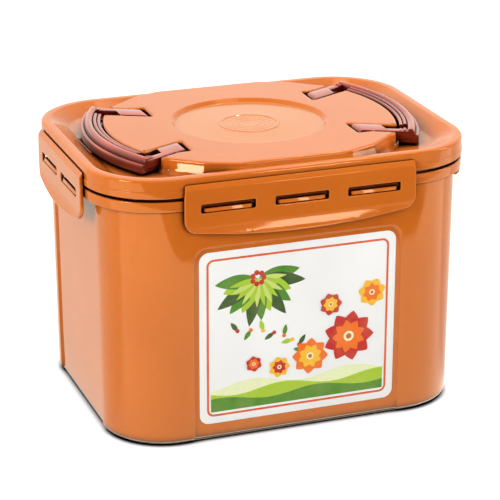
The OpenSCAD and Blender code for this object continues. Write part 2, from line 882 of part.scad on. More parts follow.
// Tray with a flange below and above the seal's channel, and a collar around the vent
module press_lid() {
    out = press_r + seal_channel;
    top = press_z + press_h;
    floor_top = press_z + press_t;
    color(orange) {
        difference() {
            rounded_block(tub_cx, tub_cy, [
                [press_r, press_z], [out, press_z + press_chamfer], [out, seal_low],
                [press_r, seal_low], [press_r, seal_high], [out, seal_high],
                [out, top - soft_edge], [out - soft_edge, top]]);
            rounded_block(tub_cx, tub_cy, [
                [press_r - press_t - press_chamfer, floor_top],
                [press_r - press_t, floor_top + press_chamfer],
                [press_r - press_t, top + over]]);
            vent_hole(press_z - over, press_t + 2 * over);
        }
        grip();
        difference() {
            translate([vent_x, 0, floor_top - hair])
                cylinder(r = vent_r + collar_t, h = collar_h + hair);
            vent_hole(press_z - over, press_t + collar_h + 2 * over);
        }
    }
}

module vent_hole(low, h) {
    translate([vent_x, 0, low])
        cylinder(r = vent_r, h = h);
}

// Finger grip: a bar on two posts, cut as one piece from its side view
module grip() {
    post = grip_l / 2;
    in = post - grip_post_t;
    in_r = grip_corner_r - 1;
    in_top = grip_h - grip_t - in_r;
    translate([0, grip_w / 2, press_z + press_t - hair])
        rotate([90, 0, 0])
            linear_extrude(grip_w)
                difference() {
                    polygon(concat(
                        [[-post - grip_spread, 0], [post + grip_spread, 0]],
                        arc(post - grip_corner_r, grip_h - grip_corner_r, grip_corner_r, 0, 90),
                        arc(grip_corner_r - post, grip_h - grip_corner_r, grip_corner_r, 90, 180)));
                    polygon(concat(
                        [[-in - grip_spread, -over], [in + grip_spread, -over]],
                        arc(in - in_r, in_top, in_r, 0, 90),
                        arc(in_r - in, in_top, in_r, 90, 180)));
                }
}

// Soft ring with an upper and a lower lip
module press_seal() {
    root = press_r + seat;
    web = root + seal_channel - soft_edge;
    lip_h = 1;
    color("dimgray")
        rounded_ring(tub_cx, tub_cy, [
            [root, seal_low + seat], [web, seal_low + seat], [seal_r - soft_edge, seal_low + lip_h],
            [seal_r, seal_low + lip_h + soft_edge], [seal_r - soft_edge, seal_low + 2 * lip_h],
            [web, seal_low + 2.2 * lip_h], [web, seal_high - 2.4 * lip_h],
            [seal_r - soft_edge, seal_high - 2 * lip_h], [seal_r, seal_high - lip_h - soft_edge],
            [seal_r - soft_edge, seal_high - lip_h], [web, seal_high - seat], [root, seal_high - seat]]);
}

// Soft plug: a shank in the vent, a head on the collar and a knob to pull
module vent_plug() {
    head_z = press_z + press_t + collar_h + 0.1;
    head_top = head_z + plug_head_t;
    shank_r = vent_r - plug_fit;
    round_r = 1.2;
    neck_r = 0.8 * knob_r;
    color("dimgray")
        translate([vent_x, 0, 0])
            rotate_extrude()
                polygon(concat(
                    [[0, press_z - 1.5], [shank_r - 1, press_z - 1.5], [shank_r, press_z - 0.3],
                     [shank_r, head_z], [plug_head_r, head_z]],
                    arc(plug_head_r - round_r, head_top - round_r, round_r, 0, 90, 3),
                    [[neck_r + soft_edge, head_top], [neck_r, head_top + knob_r - 1]],
                    arc(0, head_top + knob_r + 1, knob_r, -30, 90, 6)));
}

tub();
label();
outer_lid();
lid_gasket();
latch_front();
latch_back();
latch_left();
latch_right();
handle_left();
handle_right();
press_lid();
press_seal();
vent_plug();
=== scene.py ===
import math
import bpy
import bmesh
import numpy as np
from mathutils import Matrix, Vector
from mathutils.geometry import delaunay_2d_cdt, tessellate_polygon


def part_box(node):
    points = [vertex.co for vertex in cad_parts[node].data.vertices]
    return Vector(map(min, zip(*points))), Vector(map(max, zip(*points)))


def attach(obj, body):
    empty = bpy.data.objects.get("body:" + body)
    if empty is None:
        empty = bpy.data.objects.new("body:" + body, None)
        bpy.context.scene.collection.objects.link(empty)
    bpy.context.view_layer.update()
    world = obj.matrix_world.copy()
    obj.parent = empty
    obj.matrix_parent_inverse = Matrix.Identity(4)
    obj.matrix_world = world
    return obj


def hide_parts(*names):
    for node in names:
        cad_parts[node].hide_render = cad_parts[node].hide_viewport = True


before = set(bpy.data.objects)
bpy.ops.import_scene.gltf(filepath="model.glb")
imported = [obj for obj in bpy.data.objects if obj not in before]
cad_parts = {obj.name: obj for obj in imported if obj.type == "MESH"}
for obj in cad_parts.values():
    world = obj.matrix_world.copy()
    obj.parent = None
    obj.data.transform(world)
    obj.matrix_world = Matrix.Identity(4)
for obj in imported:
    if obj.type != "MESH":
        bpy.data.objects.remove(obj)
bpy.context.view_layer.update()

MM = 0.001


def size_of(node):
    """Low and high corner of a CAD node's box, in millimetres."""
    return [np.array(corner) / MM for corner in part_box(node)]


# Sizes in millimetres, from the frame where it has them
lid_low, lid_high = size_of("outer_lid")
label_low, label_high = size_of("label")
front_low, front_high = size_of("latch_front")
bow_low, bow_high = size_of("handle_right")
side_high = size_of("latch_right")[1]

# Lid: half sizes, corner radius and centre, heights of its levels, wall thickness
LID_X, LID_Y, TOP = lid_high
LID_R = 52.0
LID_C = (LID_X - LID_R, LID_Y - LID_R)
SKIRT_Z = TOP - 16.8
STEP_Z = SKIRT_Z + 4.7
RIDGE_Z = TOP - 3.5
TROUGH_Z = TOP - 10.4
LID_T = 2.4
UNDERSIDE = 188.0
# Recess in the flat top, and the ring in it
RECESS_R, RECESS_DEPTH, RECESS_SLOPE, RING_R = 56.0, 2.8, 2.6, 21.5
# Tub: corner radius at the foot, corner centres, walls and heights
TUB_R = 45.0
TUB_C = (LID_C[0] - 2.0, LID_C[1] + 4.0)
TUB_TOP = size_of("tub")[1][2]
WALL = 3.5
LEAN_OUT, LEAN_IN = 0.009, 0.003
FOOT_H, FOOT_W, FOOT_IN, FLOOR_Z = 2.4, 12.0, 5.0, 5.8
BAND_LOW, BAND_TOP = 172.5, 180.0
BAND_R = LID_R - 0.5
LIP_T = 2.8
LIP_IN = TUB_R - WALL + LEAN_IN * TUB_TOP
PLUG_OUT, PLUG_T = LIP_IN - 0.8, 2.2
PLUG_Z = lid_low[2]
# Sunk panels, and the bevel's places across it
PANEL_DEPTH, PANEL_BEVEL = 1.35, 1.2
PANEL_FRONT, PANEL_SIDE = 151.0, 108.0
PANEL_TOP, PANEL_R = label_high[2] + 3.2, 9.0
BEVEL_CUTS = np.array([0.0, 0.2, 0.4, 0.6, 0.8, 1.0, 1.2])
# Flaps, their slots and the catches in them
FLAP_T, CREASE_Z, FLARE = 2.6, 164.0, 3.5
FLAP_LOW, FLAP_SHOULDER, FLAP_TOP = front_low[2], 181.5, front_high[2]
LEDGE_H, FLAP_GAP = 3.3, 0.4
SLOT_L, SLOT_H, SLOT_Z = 39.0, 6.2, 170.7
PITCH_FRONT, PITCH_SIDE = 53.0, 50.0
CATCH_Z, CATCH_H, CATCH_REACH = SLOT_Z + 0.35, 3.0, 3.2
# Handles: the grip is an arc about the bow's centre, BOW_OFF beyond the lid's middle
BOW_OFF, BOW_W = 20.0, 14.6
BOW_R, BOW_Z = bow_high[0] + BOW_OFF, bow_low[2]
LEG_ANGLE = math.radians(26.5)
LEG_W, LEG_T = 14.6, 6.5
LEG_SIN, LEG_COS = math.sin(LEG_ANGLE), math.cos(LEG_ANGLE)
PIVOT_X = LID_X - 72.0
PIVOT_Z = TOP - LEG_T / 2
# Curved end of the flat top, heel and relief of a leg's channel
END_R = BOW_R - BOW_W - 1.2
CHANNEL_GAP = 1.0
HEEL_X, RELIEF_X = PIVOT_X - LEG_T / 2 - 1.75, PIVOT_X + 0.7 * LEG_T
# Sticker and print
LABEL_HALF, LABEL_H, LABEL_R, LABEL_T = (label_high[0] - label_low[0]) / 2, 127.3, 7.0, 0.25
RED, ORANGE, YELLOW = (0.50, 0.008, 0.012), (0.84, 0.15, 0.008), (0.90, 0.48, 0.02)
GREEN, LIGHT, DARK = (0.05, 0.22, 0.012), (0.36, 0.55, 0.03), (0.012, 0.07, 0.01)
LIME, MEADOW, PALE = (0.55, 0.66, 0.16), (0.80, 0.86, 0.52), (0.93, 0.84, 0.55)
BROWN, RUST = (0.45, 0.12, 0.02), (0.70, 0.085, 0.015)


# Curves and meshes

def quarter_round(radius, count, turn=1):
    """Quarter round of an edge as (inset, depth) = (radius * (1 - sin a), radius * (1 - cos a)), from the
    face to the side, or with turn -1 the other way."""
    angles = np.linspace(0, math.pi / 2, count)[::turn]
    return [(radius * (1 - math.sin(a)), radius * (1 - math.cos(a))) for a in angles]


def at_height(points, z):
    """Adds a last column that holds one value, such as the height z of plan points."""
    return np.column_stack([points, np.full(len(points), z)])


def round_points(count):
    """Points of the unit circle at equal angles, counter-clockwise from +X."""
    turn = np.linspace(0, 2 * math.pi, count + 1)[:-1]
    return np.column_stack([np.cos(turn), np.sin(turn)])


def leg_line(x, share=0.0, offset=0.0):
    """Place y of a leg's centre line at x, moved across it by a share of its half width and an offset."""
    return (x + BOW_OFF) * LEG_SIN / LEG_COS + (share * LEG_W / 2 + offset) / LEG_COS


def rounded(points, radii, steps=6, closed=False):
    """Replaces each corner of a polyline by an arc that touches both its sides.

    The arc starts at the corner's distance r * tan(turn / 2), capped at 0.49 of the shorter side,
    and its points are the centre plus the start arm turned towards the end arm in equal angles.
    """
    pts = [np.array(p, float) for p in points]
    n = len(pts)
    radii = [radii] * n if np.isscalar(radii) else list(radii)
    out = []
    for i, b in enumerate(pts):
        if not closed and i in (0, n - 1):
            out.append(b)
            continue
        a, c = pts[i - 1], pts[(i + 1) % n]
        la, lc = np.linalg.norm(a - b), np.linalg.norm(c - b)
        u, v = (a - b) / la, (c - b) / lc
        inner = math.acos(max(-1, min(1, float(u @ v))))
        turn = math.pi - inner
        if radii[i] <= 0 or turn < 0.02:
            out.append(b)
            continue
        cut = min(radii[i] * math.tan(turn / 2), 0.49 * la, 0.49 * lc)
        r = cut / math.tan(turn / 2)
        centre = b + (u + v) / np.linalg.norm(u + v) * r / math.sin(inner / 2)
        arm0, arm1 = b + u * cut - centre, b + v * cut - centre
        for k in range(steps + 1):
            t = k / steps * turn
            out.append(centre + (arm0 * math.sin(turn - t) + arm1 * math.sin(t)) / math.sin(turn))
    return np.array(out)


def moved_out(loop, d):
    """Moves each point of a closed counter-clockwise loop outwards by d.

    The direction is the mean of the two sides' outward normals, and the step is d over the cosine of
    half the turn, so each side moves by exactly d.
    """
    side = np.roll(loop, -1, 0) - loop
    side /= np.maximum(np.linalg.norm(side, axis=1, keepdims=True), 1e-9)
    nrm = np.column_stack([side[:, 1], -side[:, 0]])
    mean = nrm + np.roll(nrm, 1, 0)
    mean /= np.linalg.norm(mean, axis=1, keepdims=True)
    cosine = np.clip((mean * nrm).sum(1), 0.3, 1)
    return loop + mean * (np.broadcast_to(d, len(loop)) / cosine)[:, None]


def inside(points, loop):
    """Even-odd test: a point is inside when a ray to its right crosses the loop an odd number of times."""
    x, y = points[:, 0][:, None], points[:, 1][:, None]
    a, b = loop, np.roll(loop, -1, 0)
    spans = (a[:, 1] > y) != (b[:, 1] > y)
    rise = np.where(b[:, 1] == a[:, 1], 1e-12, b[:, 1] - a[:, 1])
    cross = a[:, 0] + (y - a[:, 1]) * (b[:, 0] - a[:, 0]) / rise
    return (spans & (x < cross)).sum(1) % 2 == 1


def even(loop, step, whole=math.ceil):
    """Splits each side of a closed loop into equal parts: its length over the step, made whole."""
    out = []
    for a, b in zip(loop, np.roll(loop, -1, 0)):
        n = max(1, int(whole(np.linalg.norm(b - a) / step)))
        out += [a + (b - a) * k / n for k in range(n)]
    return np.array(out)


def linked(name, data):
    """New object in the scene for a mesh, lamp or camera."""
    obj = bpy.data.objects.new(name, data)
    bpy.context.scene.collection.objects.link(obj)
    return obj


class Shell:
    """Collects the vertices and faces of one mesh, in millimetres."""

    def __init__(self):
        self.verts, self.faces, self.count = [], [], 0

    def add(self, verts, faces):
        """Adds vertices, and faces whose numbers count from the first of them."""
        self.verts.append(verts)
        self.faces += [tuple(int(i) + self.count for i in f) for f in faces]
        self.count += len(verts)

    def rings(self, rings, cap_low=True, cap_high=True):
        """Joins rings of equal length by quads, and closes the first and last ring by one flat face each."""
        rings = np.asarray(rings, float)
        m, n = rings.shape[:2]
        i, j = np.meshgrid(np.arange(m - 1), np.arange(n), indexing="ij")
        a, b = i * n + j, i * n + (j + 1) % n
        faces = np.stack([a, b, b + n, a + n], -1).reshape(-1, 4).tolist()
        if cap_low:
            faces.append(list(range(n))[::-1])
        if cap_high:
            faces.append([(m - 1) * n + k for k in range(n)])
        self.add(rings.reshape(-1, 3), faces)

    def build(self, name, sharp, outward=True):
        """Makes the object: millimetres to metres, equal points joined and normals outward unless outward is
        False, smooth with edges sharp past an angle in degrees."""
        mesh = bpy.data.meshes.new(name)
        mesh.from_pydata((np.concatenate(self.verts) * MM).tolist(), [], self.faces)
        if outward:
            bm = bmesh.new()
            bm.from_mesh(mesh)
            bmesh.ops.remove_doubles(bm, verts=bm.verts, dist=2e-6)
            bmesh.ops.recalc_face_normals(bm, faces=bm.faces)
            bm.to_mesh(mesh)
            bm.free()
        mesh.polygons.foreach_set("use_smooth", np.ones(len(mesh.polygons), bool))
        mesh.set_sharp_from_angle(angle=math.radians(sharp))
        mesh.update()
        return linked(name, mesh)


# Rounded rectangles

def make_columns(side_cuts, front_cuts, steps=22):
    """Columns of a rounded rectangle, counter-clockwise from the middle of the right side.

    A column holds (ux, uy, nx, ny): its point is (ux * cx + nx * r, uy * cy + ny * r), so a straight
    side has u from -1 to 1 and a corner keeps u at +-1 while its normal turns by equal angles. The cuts are
    places u.
    """
    cols = []
    for k, along in enumerate((side_cuts, front_cuts, side_cuts, front_cuts)):
        turn = k * math.pi / 2
        nx, ny = round(math.cos(turn)), round(math.sin(turn))
        cols += [(nx - ny * u, ny + nx * u, nx, ny) for u in along]
        corner = turn + np.linspace(0, math.pi / 2, steps + 1)
        cols += [(nx - ny, ny + nx, math.cos(a), math.sin(a)) for a in corner]
    return np.array(cols)


def panel_depth(cols, z):
    """Depth of the sunk panels at each column and a height: full inside, falling by a smooth step over the
    bevel. The front and back panels are rounded rectangles: with q = (|x| - half + r, z - top + r), the
    distance to their outline is |max(q, 0)| + min(max(q), 0) - r. The side panels end only at the sides."""
    x, y = np.abs(cols[:, :2] * TUB_C).T
    facing_front, facing_side = np.abs(cols[:, 2:4].T) < 1e-6
    q = at_height((x - PANEL_FRONT / 2 + PANEL_R)[:, None], z - PANEL_TOP + PANEL_R)
    front = np.linalg.norm(np.maximum(q, 0), axis=1) + np.minimum(q.max(1), 0) - PANEL_R
    t = np.clip(np.where(facing_front, front, y - PANEL_SIDE / 2) / PANEL_BEVEL, 0, 1)
    return np.where(facing_front | facing_side, PANEL_DEPTH * (1 - t * t * (3 - 2 * t)), 0.0)


def panel_cuts(half_core, half_panel, corner=1.0):
    """Places along a straight side, as shares of its half length, that are close together at the panel's edge
    and over its round corner."""
    edge = np.concatenate([np.arange(half_panel - corner - 1, half_panel - 0.1, 0.5),
                           half_panel + BEVEL_CUTS, [half_panel + 1.5]])
    edge = edge[edge < half_core - 0.05]
    place = np.concatenate([np.linspace(0, edge[0] - 3, 9), edge]) / half_core
    return np.concatenate([-place[:0:-1], place])


def profile_rings(cols, profile, centre, panel=False):
    """Rings for a profile of (radius, z) points about the corner centres; where there are panels, their depth
    is taken off the radius of the outer wall."""
    out = []
    for r, z in profile:
        p = cols[:, :2] * centre + cols[:, 2:4] * r
        if panel and r > TUB_R - 4:
            p -= cols[:, 2:4] * panel_depth(cols, z)[:, None]
        out.append(at_height(p, z))
    return out


def tub_body():
    """Tub: rings of a rounded rectangle along one closed profile, from the foot up the leaning outer wall,
    round the rim band and the lip, and down the inner wall to the floor; radius = radius at the foot plus
    lean times height, and the profile's corners are rounded."""
    cols = make_columns(panel_cuts(TUB_C[1], PANEL_SIDE / 2), panel_cuts(TUB_C[0], PANEL_FRONT / 2, PANEL_R))
    foot_out = TUB_R - FOOT_IN
    foot_in = foot_out - FOOT_W
    top_r = TUB_R + LEAN_OUT * BAND_LOW
    below = rounded([(foot_in - 4, FOOT_H), (foot_in, FOOT_H), (foot_in, 0), (foot_out, 0),
                     (foot_out, FOOT_H), (TUB_R, FOOT_H), (top_r, BAND_LOW)],
                    [0, 0.6, 0.5, 0.7, 0.6, 3.5, 0], 5)
    levels = np.concatenate([np.linspace(below[-2][1], PANEL_TOP - PANEL_R - 1, 5)[1:],
                             np.arange(PANEL_TOP - PANEL_R, PANEL_TOP - 0.1, 0.5),
                             PANEL_TOP + BEVEL_CUTS, [PANEL_TOP + 1.6, CREASE_Z - 6]])
    rise = [(TUB_R + LEAN_OUT * z, z) for z in levels]
    rings = profile_rings(cols, np.vstack([below[:-1], rise, below[-1:]]), TUB_C, panel=True)
    for t in (0.12, 0.88):
        centre = (1 - t) * np.array(TUB_C) + t * np.array(LID_C)
        rings += profile_rings(cols, [(top_r + (BAND_R - top_r) * t, BAND_LOW + 0.02)], centre)
    band = rounded([(BAND_R - 1.2, BAND_LOW), (BAND_R, BAND_LOW), (BAND_R, BAND_TOP), (BAND_R - 3, BAND_TOP)],
                   [0, 0.7, 1.0, 0], 5)
    rings += profile_rings(cols, band[1:-1], LID_C)
    lip_out = LIP_IN + LIP_T
    floor_r = TUB_R - WALL
    inner = rounded([(lip_out + 1.2, BAND_TOP), (lip_out, BAND_TOP), (lip_out, TUB_TOP), (LIP_IN, TUB_TOP),
                     (floor_r + LEAN_IN * FLOOR_Z, FLOOR_Z), (floor_r - 16, FLOOR_Z)],
                    [0, 0.5, 1.2, 1.2, 8, 0], 7)
    shell = Shell()
    shell.rings(rings + profile_rings(cols, inner, TUB_C))
    for side in range(4):
        count, pitch, core = ((3, PITCH_FRONT, LID_C[1]), (2, PITCH_SIDE, LID_C[0]))[side % 2]
        for k in range(count):
            add_catch(shell, side, (k - (count - 1) / 2) * pitch, core + BAND_R)
    return shell.build("tub_moulding", 50)


def on_side(points, side):
    """Turns points drawn on the front by side times 90 degrees about Z."""
    p = np.array(points, float)
    for _ in range(side):
        p = np.column_stack([-p[:, 1], p[:, 0], p[:, 2]])
    return p


def add_catch(shell, side, place, reach):
    """One catch: a hooked section run along the band, with its tip at the top and its upper face falling
    towards the band; the section shrinks over the last 3 mm at each end by a quarter circle."""
    half, taper, sunk = SLOT_L / 2 - 1.6, 3.0, 1.5
    section = [(-0.8, 0), (-1, 0.12), (-0.8, 0.96), (-0.5, 0.8)]
    section = [(x * CATCH_REACH, CATCH_Z + z * CATCH_H) for x, z in section]
    back_z = CATCH_Z + 0.4 * CATCH_H
    sect = rounded([(sunk, CATCH_Z - 0.1)] + section + [(0.1, back_z), (sunk, back_z)],
                   [0, 0.3, 0.3, 0.35, 0.6, 0.3, 0], 4)
    root = np.array([sunk, back_z])
    rings = []
    for end in (-1, 1):
        for inset, depth in quarter_round(1, 6, -end):
            k = 1 - 0.8 * inset
            p = root + (sect - root) * np.array([k, 0.45 + 0.55 * k])
            along = np.full(len(p), place + end * (half - taper * depth))
            rings.append(on_side(np.column_stack([along, p[:, 0] - reach, p[:, 1]]), side))
    shell.rings(rings)


def lid_rim(shell):
    """Rim of the lid: rings along one profile from the trough's floor up its slope, over the ridge, down the
    rounded edge and the skirt, under it, round the gasket groove and the plug wall to the underside."""
    cols = make_columns(np.linspace(-1, 1, 9)[1:-1], np.linspace(-1, 1, 13)[1:-1], 28)
    skirt_in, face = LID_R - LID_T, LID_R - 0.45
    top = rounded([(24, TROUGH_Z), (31.5, TROUGH_Z), (LID_R - 7.2, RIDGE_Z), (LID_R - 4.6, RIDGE_Z + 0.1),
                   (face, RIDGE_Z - 0.1), (face, STEP_Z + 0.35), (LID_R, STEP_Z), (LID_R, SKIRT_Z),
                   (skirt_in, SKIRT_Z), (skirt_in, UNDERSIDE), (44, UNDERSIDE)],
                  [0, 7, 2.2, 2.5, 4.3, 0.4, 0.35, 0.7, 0.5, 0.6, 0], 8)
    plug_in, below = PLUG_OUT - PLUG_T, TROUGH_Z - LID_T
    inner = rounded([(PLUG_OUT + 1.5, UNDERSIDE), (PLUG_OUT, UNDERSIDE), (PLUG_OUT, PLUG_Z),
                     (plug_in, PLUG_Z), (plug_in, below), (PLUG_OUT - 10, below)],
                    [0, 0.5, 0.6, 0.6, 0.8, 0], 5)
    shell.rings(profile_rings(cols, top, LID_C) + profile_rings(cols, inner, TUB_C))


def end_point(angle):
    """Point of the flat top's curved end at an angle about the bow's centre."""
    return END_R * math.cos(angle) - BOW_OFF, END_R * math.sin(angle)


def channel_quarter():
    """Points (x, y, corner radius) of the flat top's outline in the quarter x > 0, y > 0, from the curved end
    to the front edge, with the leg's channel cut in: its sides lie half the leg's width plus the gap from the
    leg's centre line, its heel is a straight cut behind the pivot, and beside the heel it is relieved."""
    spread = math.asin((LEG_W / 2 + CHANNEL_GAP) / END_R)
    high_y = leg_line(PIVOT_X, 1) + 2.9 + CHANNEL_GAP / 2
    pts = [end_point(a) + (0,) for a in np.linspace(0, LEG_ANGLE - spread, 13)[:-1]]
    return pts + [end_point(LEG_ANGLE - spread) + (1.2,), (HEEL_X, leg_line(HEEL_X, -1, -CHANNEL_GAP), 1.0),
                  (HEEL_X, high_y, 1.2), (RELIEF_X, high_y, 1.2),
                  (RELIEF_X, leg_line(RELIEF_X, 1, CHANNEL_GAP), 0.8), end_point(LEG_ANGLE + spread) + (1.4,),
                  end_point(LEG_ANGLE + spread + math.radians(1.3)) + (1.5,),
                  (LID_X - 57, LID_Y - 36.2, 6), (LID_X - 77, LID_Y - 19, 8), (41, LID_Y - 9.9, 6)]


def mirrored(quarter):
    """The full counter-clockwise outline from a quarter that runs from +X to +Y, with no point twice."""
    back = quarter[::-1]
    return (quarter + [(-x, y, r) for x, y, r in back[:-1]] + [(-x, -y, r) for x, y, r in quarter]
            + [(x, -y, r) for x, y, r in back[:-1]])


def lid_top(shell):
    """Flat top: its outline is carried down as a wall with a quarter round at the upper edge. The wall leans
    out by 0.07 of its height at the handles, by a third at the slant corners, and by 0.92 at the front and
    back edges, where it meets the ridge, with smooth passages between. The face between the outline and the
    round recess is flat, and the recess is rings of a circle, with one raised ring and three faint ones."""
    full = mirrored(channel_quarter())
    loop = even(rounded([p[:2] for p in full], [p[2] for p in full], 6, closed=True), 4, int)
    x, y = np.abs(loop.T)
    t = np.clip((x - 36) / 16, 0, 1)
    share = np.where(y > LID_Y - 22, 1 - t * t * (3 - 2 * t), 0.0)
    beyond = y * LEG_COS - (x + BOW_OFF) * LEG_SIN - LEG_W / 2
    lean = 0.07 + 0.26 * np.clip((beyond - 5.5) / 6, 0, 1) * (1 - share) + 0.85 * share
    edge = 2.0
    flat = moved_out(loop, -edge - 0.5)
    rings = [at_height(flat, TOP)]
    rings += [at_height(moved_out(loop, -inset), TOP - depth) for inset, depth in quarter_round(edge, 7)]
    for z in np.linspace(TOP - edge, TROUGH_Z - 0.6, 9)[1:]:
        foot = 1.8 * np.clip((TROUGH_Z + 2.2 - z) / 2.2, 0, 1) ** 2 * (1 - share)
        rings.append(at_height(moved_out(loop, lean * (TOP - edge - z) + foot), z))
    shell.rings(rings, cap_low=False)
    low = TOP - RECESS_DEPTH
    rim_r = RECESS_R + 1.6
    prof = [(rim_r, TOP), (RECESS_R + 0.3, TOP), (RECESS_R - RECESS_SLOPE, low), (RECESS_R - 8, low)]
    radii = [0, 1.2, 1.2, 0]
    for inwards, w, h in ((0, 1.2, 0.5), (5, 0.8, 0.2), (9, 0.8, 0.2), (13, 0.8, 0.2)):
        r = RING_R - inwards
        prof += [(r + w / 2, low), (r, low + h), (r - w, low + h), (r - 1.5 * w, low)]
        radii += [0.3, 0.4, 0.4, 0.3]
    prof = rounded(prof + [(2, low)], radii + [0], 4)
    circle = round_points(144)
    shell.rings([at_height(circle * r, z) for r, z in prof], cap_low=False)
    bounds = [[Vector(p) for p in at_height(bound, 0)] for bound in (flat, circle[::-1] * rim_r)]
    plan = np.array([p.xy for bound in bounds for p in bound])
    shell.add(at_height(plan, TOP), tessellate_polygon(bounds))


def channel_floors(shell):
    """Floors of the four leg channels: a plate 0.75 under the leg, bounded by the channel's sides and the
    flat top's curved end, with the plan moved out by 0.3 and more so that it passes into the walls."""
    floor_z = PIVOT_Z - LEG_T / 2 - 0.75
    over = CHANNEL_GAP + 0.3
    spread = math.asin((LEG_W / 2 + over) / END_R)
    heel_x, relief_x = HEEL_X - 0.3, RELIEF_X + 0.3
    high_y = leg_line(PIVOT_X, 1) + 3.8
    loop = np.array([(heel_x, leg_line(heel_x, -1, -over))]
                    + [end_point(a) for a in np.linspace(LEG_ANGLE - spread, LEG_ANGLE + spread, 9)]
                    + [(relief_x, leg_line(relief_x, 1, over)), (relief_x, high_y), (heel_x, high_y)])
    for sx in (1, -1):
        for sy in (1, -1):
            p = (loop * [sx, sy])[::sx * sy]
            rings = [at_height(moved_out(p, -inset), floor_z - down) for inset, down in quarter_round(0.8, 5)]
            shell.rings(rings + [at_height(p, TROUGH_Z - 0.5)])


def lid_body():
    """Lid: rim, flat top and channel floors in one mesh; they pass into each other where they meet."""
    shell = Shell()
    lid_rim(shell)
    lid_top(shell)
    channel_floors(shell)
    return shell.build("lid_moulding", 38)


# Flaps

def flap_outline(half):
    """Outline of a flap seen from the front as (x, z), counter-clockwise: a circular lower edge with a
    sagitta of 5.5, corners of radius 9, and sides that lean in over the top 9 mm."""
    sag, corner = 5.5, 9.0
    bend = (half * half + sag * sag) / (2 * sag)
    reach = math.asin((half - 1.0) / bend)
    low = [(bend * math.sin(t), FLAP_LOW + bend * (1 - math.cos(t)), 0)
           for t in np.linspace(-reach, reach, 33)[6:-6]]
    pts = [(-half, FLAP_LOW + sag, corner)] + low + [(half, FLAP_LOW + sag, corner)]
    pts += [(half, FLAP_SHOULDER, 6), (half - 0.8, FLAP_TOP, 1.3),
            (0.8 - half, FLAP_TOP, 1.3), (-half, FLAP_SHOULDER, 6)]
    return rounded([p[:2] for p in pts], [p[2] for p in pts], 8, closed=True)


def bend_flap(points, depth, reach, side):
    """Places points (x, z) of the flat pattern on the flap of a side. Below the crease the outer face follows
    a circle of radius (drop^2 + flare^2) / (2 * flare) that leans out; depth is measured from the outer face
    along the circle's own normal. Above the ledge line the outer face leans in and the plate gets thinner."""
    x, z = points[:, 0], points[:, 1]
    drop = CREASE_Z - (FLAP_LOW - 1)
    bend = (drop * drop + FLARE * FLARE) / (2 * FLARE)
    phi = np.arcsin(np.clip((CREASE_Z - z) / bend, 0, 0.9))
    out = bend * (1 - np.cos(phi))
    lean = (FLAP_T - 0.55) * np.clip((z - FLAP_TOP + LEDGE_H) / LEDGE_H, 0, 1)
    d = lean + depth * (1 - lean / FLAP_T)
    y = -(reach + FLAP_T + out) + d * np.cos(phi)
    return on_side(np.column_stack([x, y, z - d * np.sin(phi)]), side)


def flap_plate(name, half, pitch, count, reach, side):
    """A flap: front and back faces are a constrained triangulation of the outline, the slots and an inner
    grid, kept where the even-odd rule says solid; the outline and the slots are joined front to back by
    rings that follow a quarter round at the front and a smaller one at the back."""
    edge, back_edge, border, clear = 0.75, 0.5, 0.35, 0.7
    outline = even(flap_outline(half), 2.0)
    a, b = SLOT_L / 2, SLOT_H / 2
    slot = even(rounded([(-a, -b), (a, -b), (a, b), (-a, b)], 1.3, 6, closed=True), 2.0)
    slots = [slot + [(i - (count - 1) / 2) * pitch, SLOT_Z + b] for i in range(count)]
    back = [(inset, FLAP_T - depth) for inset, depth in quarter_round(back_edge, 4, -1)]
    faces_at = [(edge + border, 0.0), (back_edge + border, FLAP_T)]
    shell = Shell()
    for loop, sign in [(outline, -1)] + [(s, 1) for s in slots]:
        steps = faces_at[:1] + quarter_round(edge, 6) + back + faces_at[1:]
        rings = [bend_flap(moved_out(loop, sign * inset), depth, reach, side) for inset, depth in steps]
        shell.rings(rings, cap_low=False, cap_high=False)
    rows = np.concatenate([np.linspace(FLAP_LOW + 2.2, CREASE_Z, 9),
                           [SLOT_Z - 2, SLOT_Z + SLOT_H + 2.2, FLAP_SHOULDER + 2.5],
                           FLAP_TOP - LEDGE_H + np.array([-0.4, -0.15, 0.1, 0.35])])
    grid = np.array([(x, z) for z in rows for x in np.linspace(-half + 2, half - 2, int(half / 1.6))])

    def solid(points, inset):
        """Which points lie on the plate, further than the inset from every edge."""
        good = inside(points, moved_out(outline, -inset))
        for s in slots:
            good &= ~inside(points, moved_out(s, inset))
        return good

    for inset, depth in faces_at:
        pts, edges = [], []
        for bound in [moved_out(outline, -inset)] + [moved_out(s, inset) for s in slots]:
            n0, n = len(pts), len(bound)
            pts += [Vector(p) for p in bound]
            edges += [(n0 + k, n0 + (k + 1) % n) for k in range(n)]
        pts += [Vector(p) for p in grid[solid(grid, inset + clear)]]
        verts, _, faces, _, _, _ = delaunay_2d_cdt(pts, edges, [], 0, 1e-6, False)
        verts, faces = np.array([tuple(p) for p in verts]), np.array([tuple(f) for f in faces])
        shell.add(bend_flap(verts, depth, reach, side), faces[solid(verts[faces].mean(1), inset)].tolist())
    return shell.build(name, 50)


# Handles

def rib_top(rho):
    """Height of the grip's upper face: the highest of four circles, one for each rib, over a valley floor."""
    z = np.full(rho.shape, TOP - 4.6)
    for inwards, r, above in ((1.5, 1.5, -2.4), (5.9, 2.95, 1.6), (10.25, 1.3, 0.9), (13.1, 1.45, 0.3)):
        d = r * r - (rho - BOW_R + inwards) ** 2
        z = np.where(d > 0, np.maximum(z, TOP + above - r + np.sqrt(np.maximum(d, 0))), z)
    return z


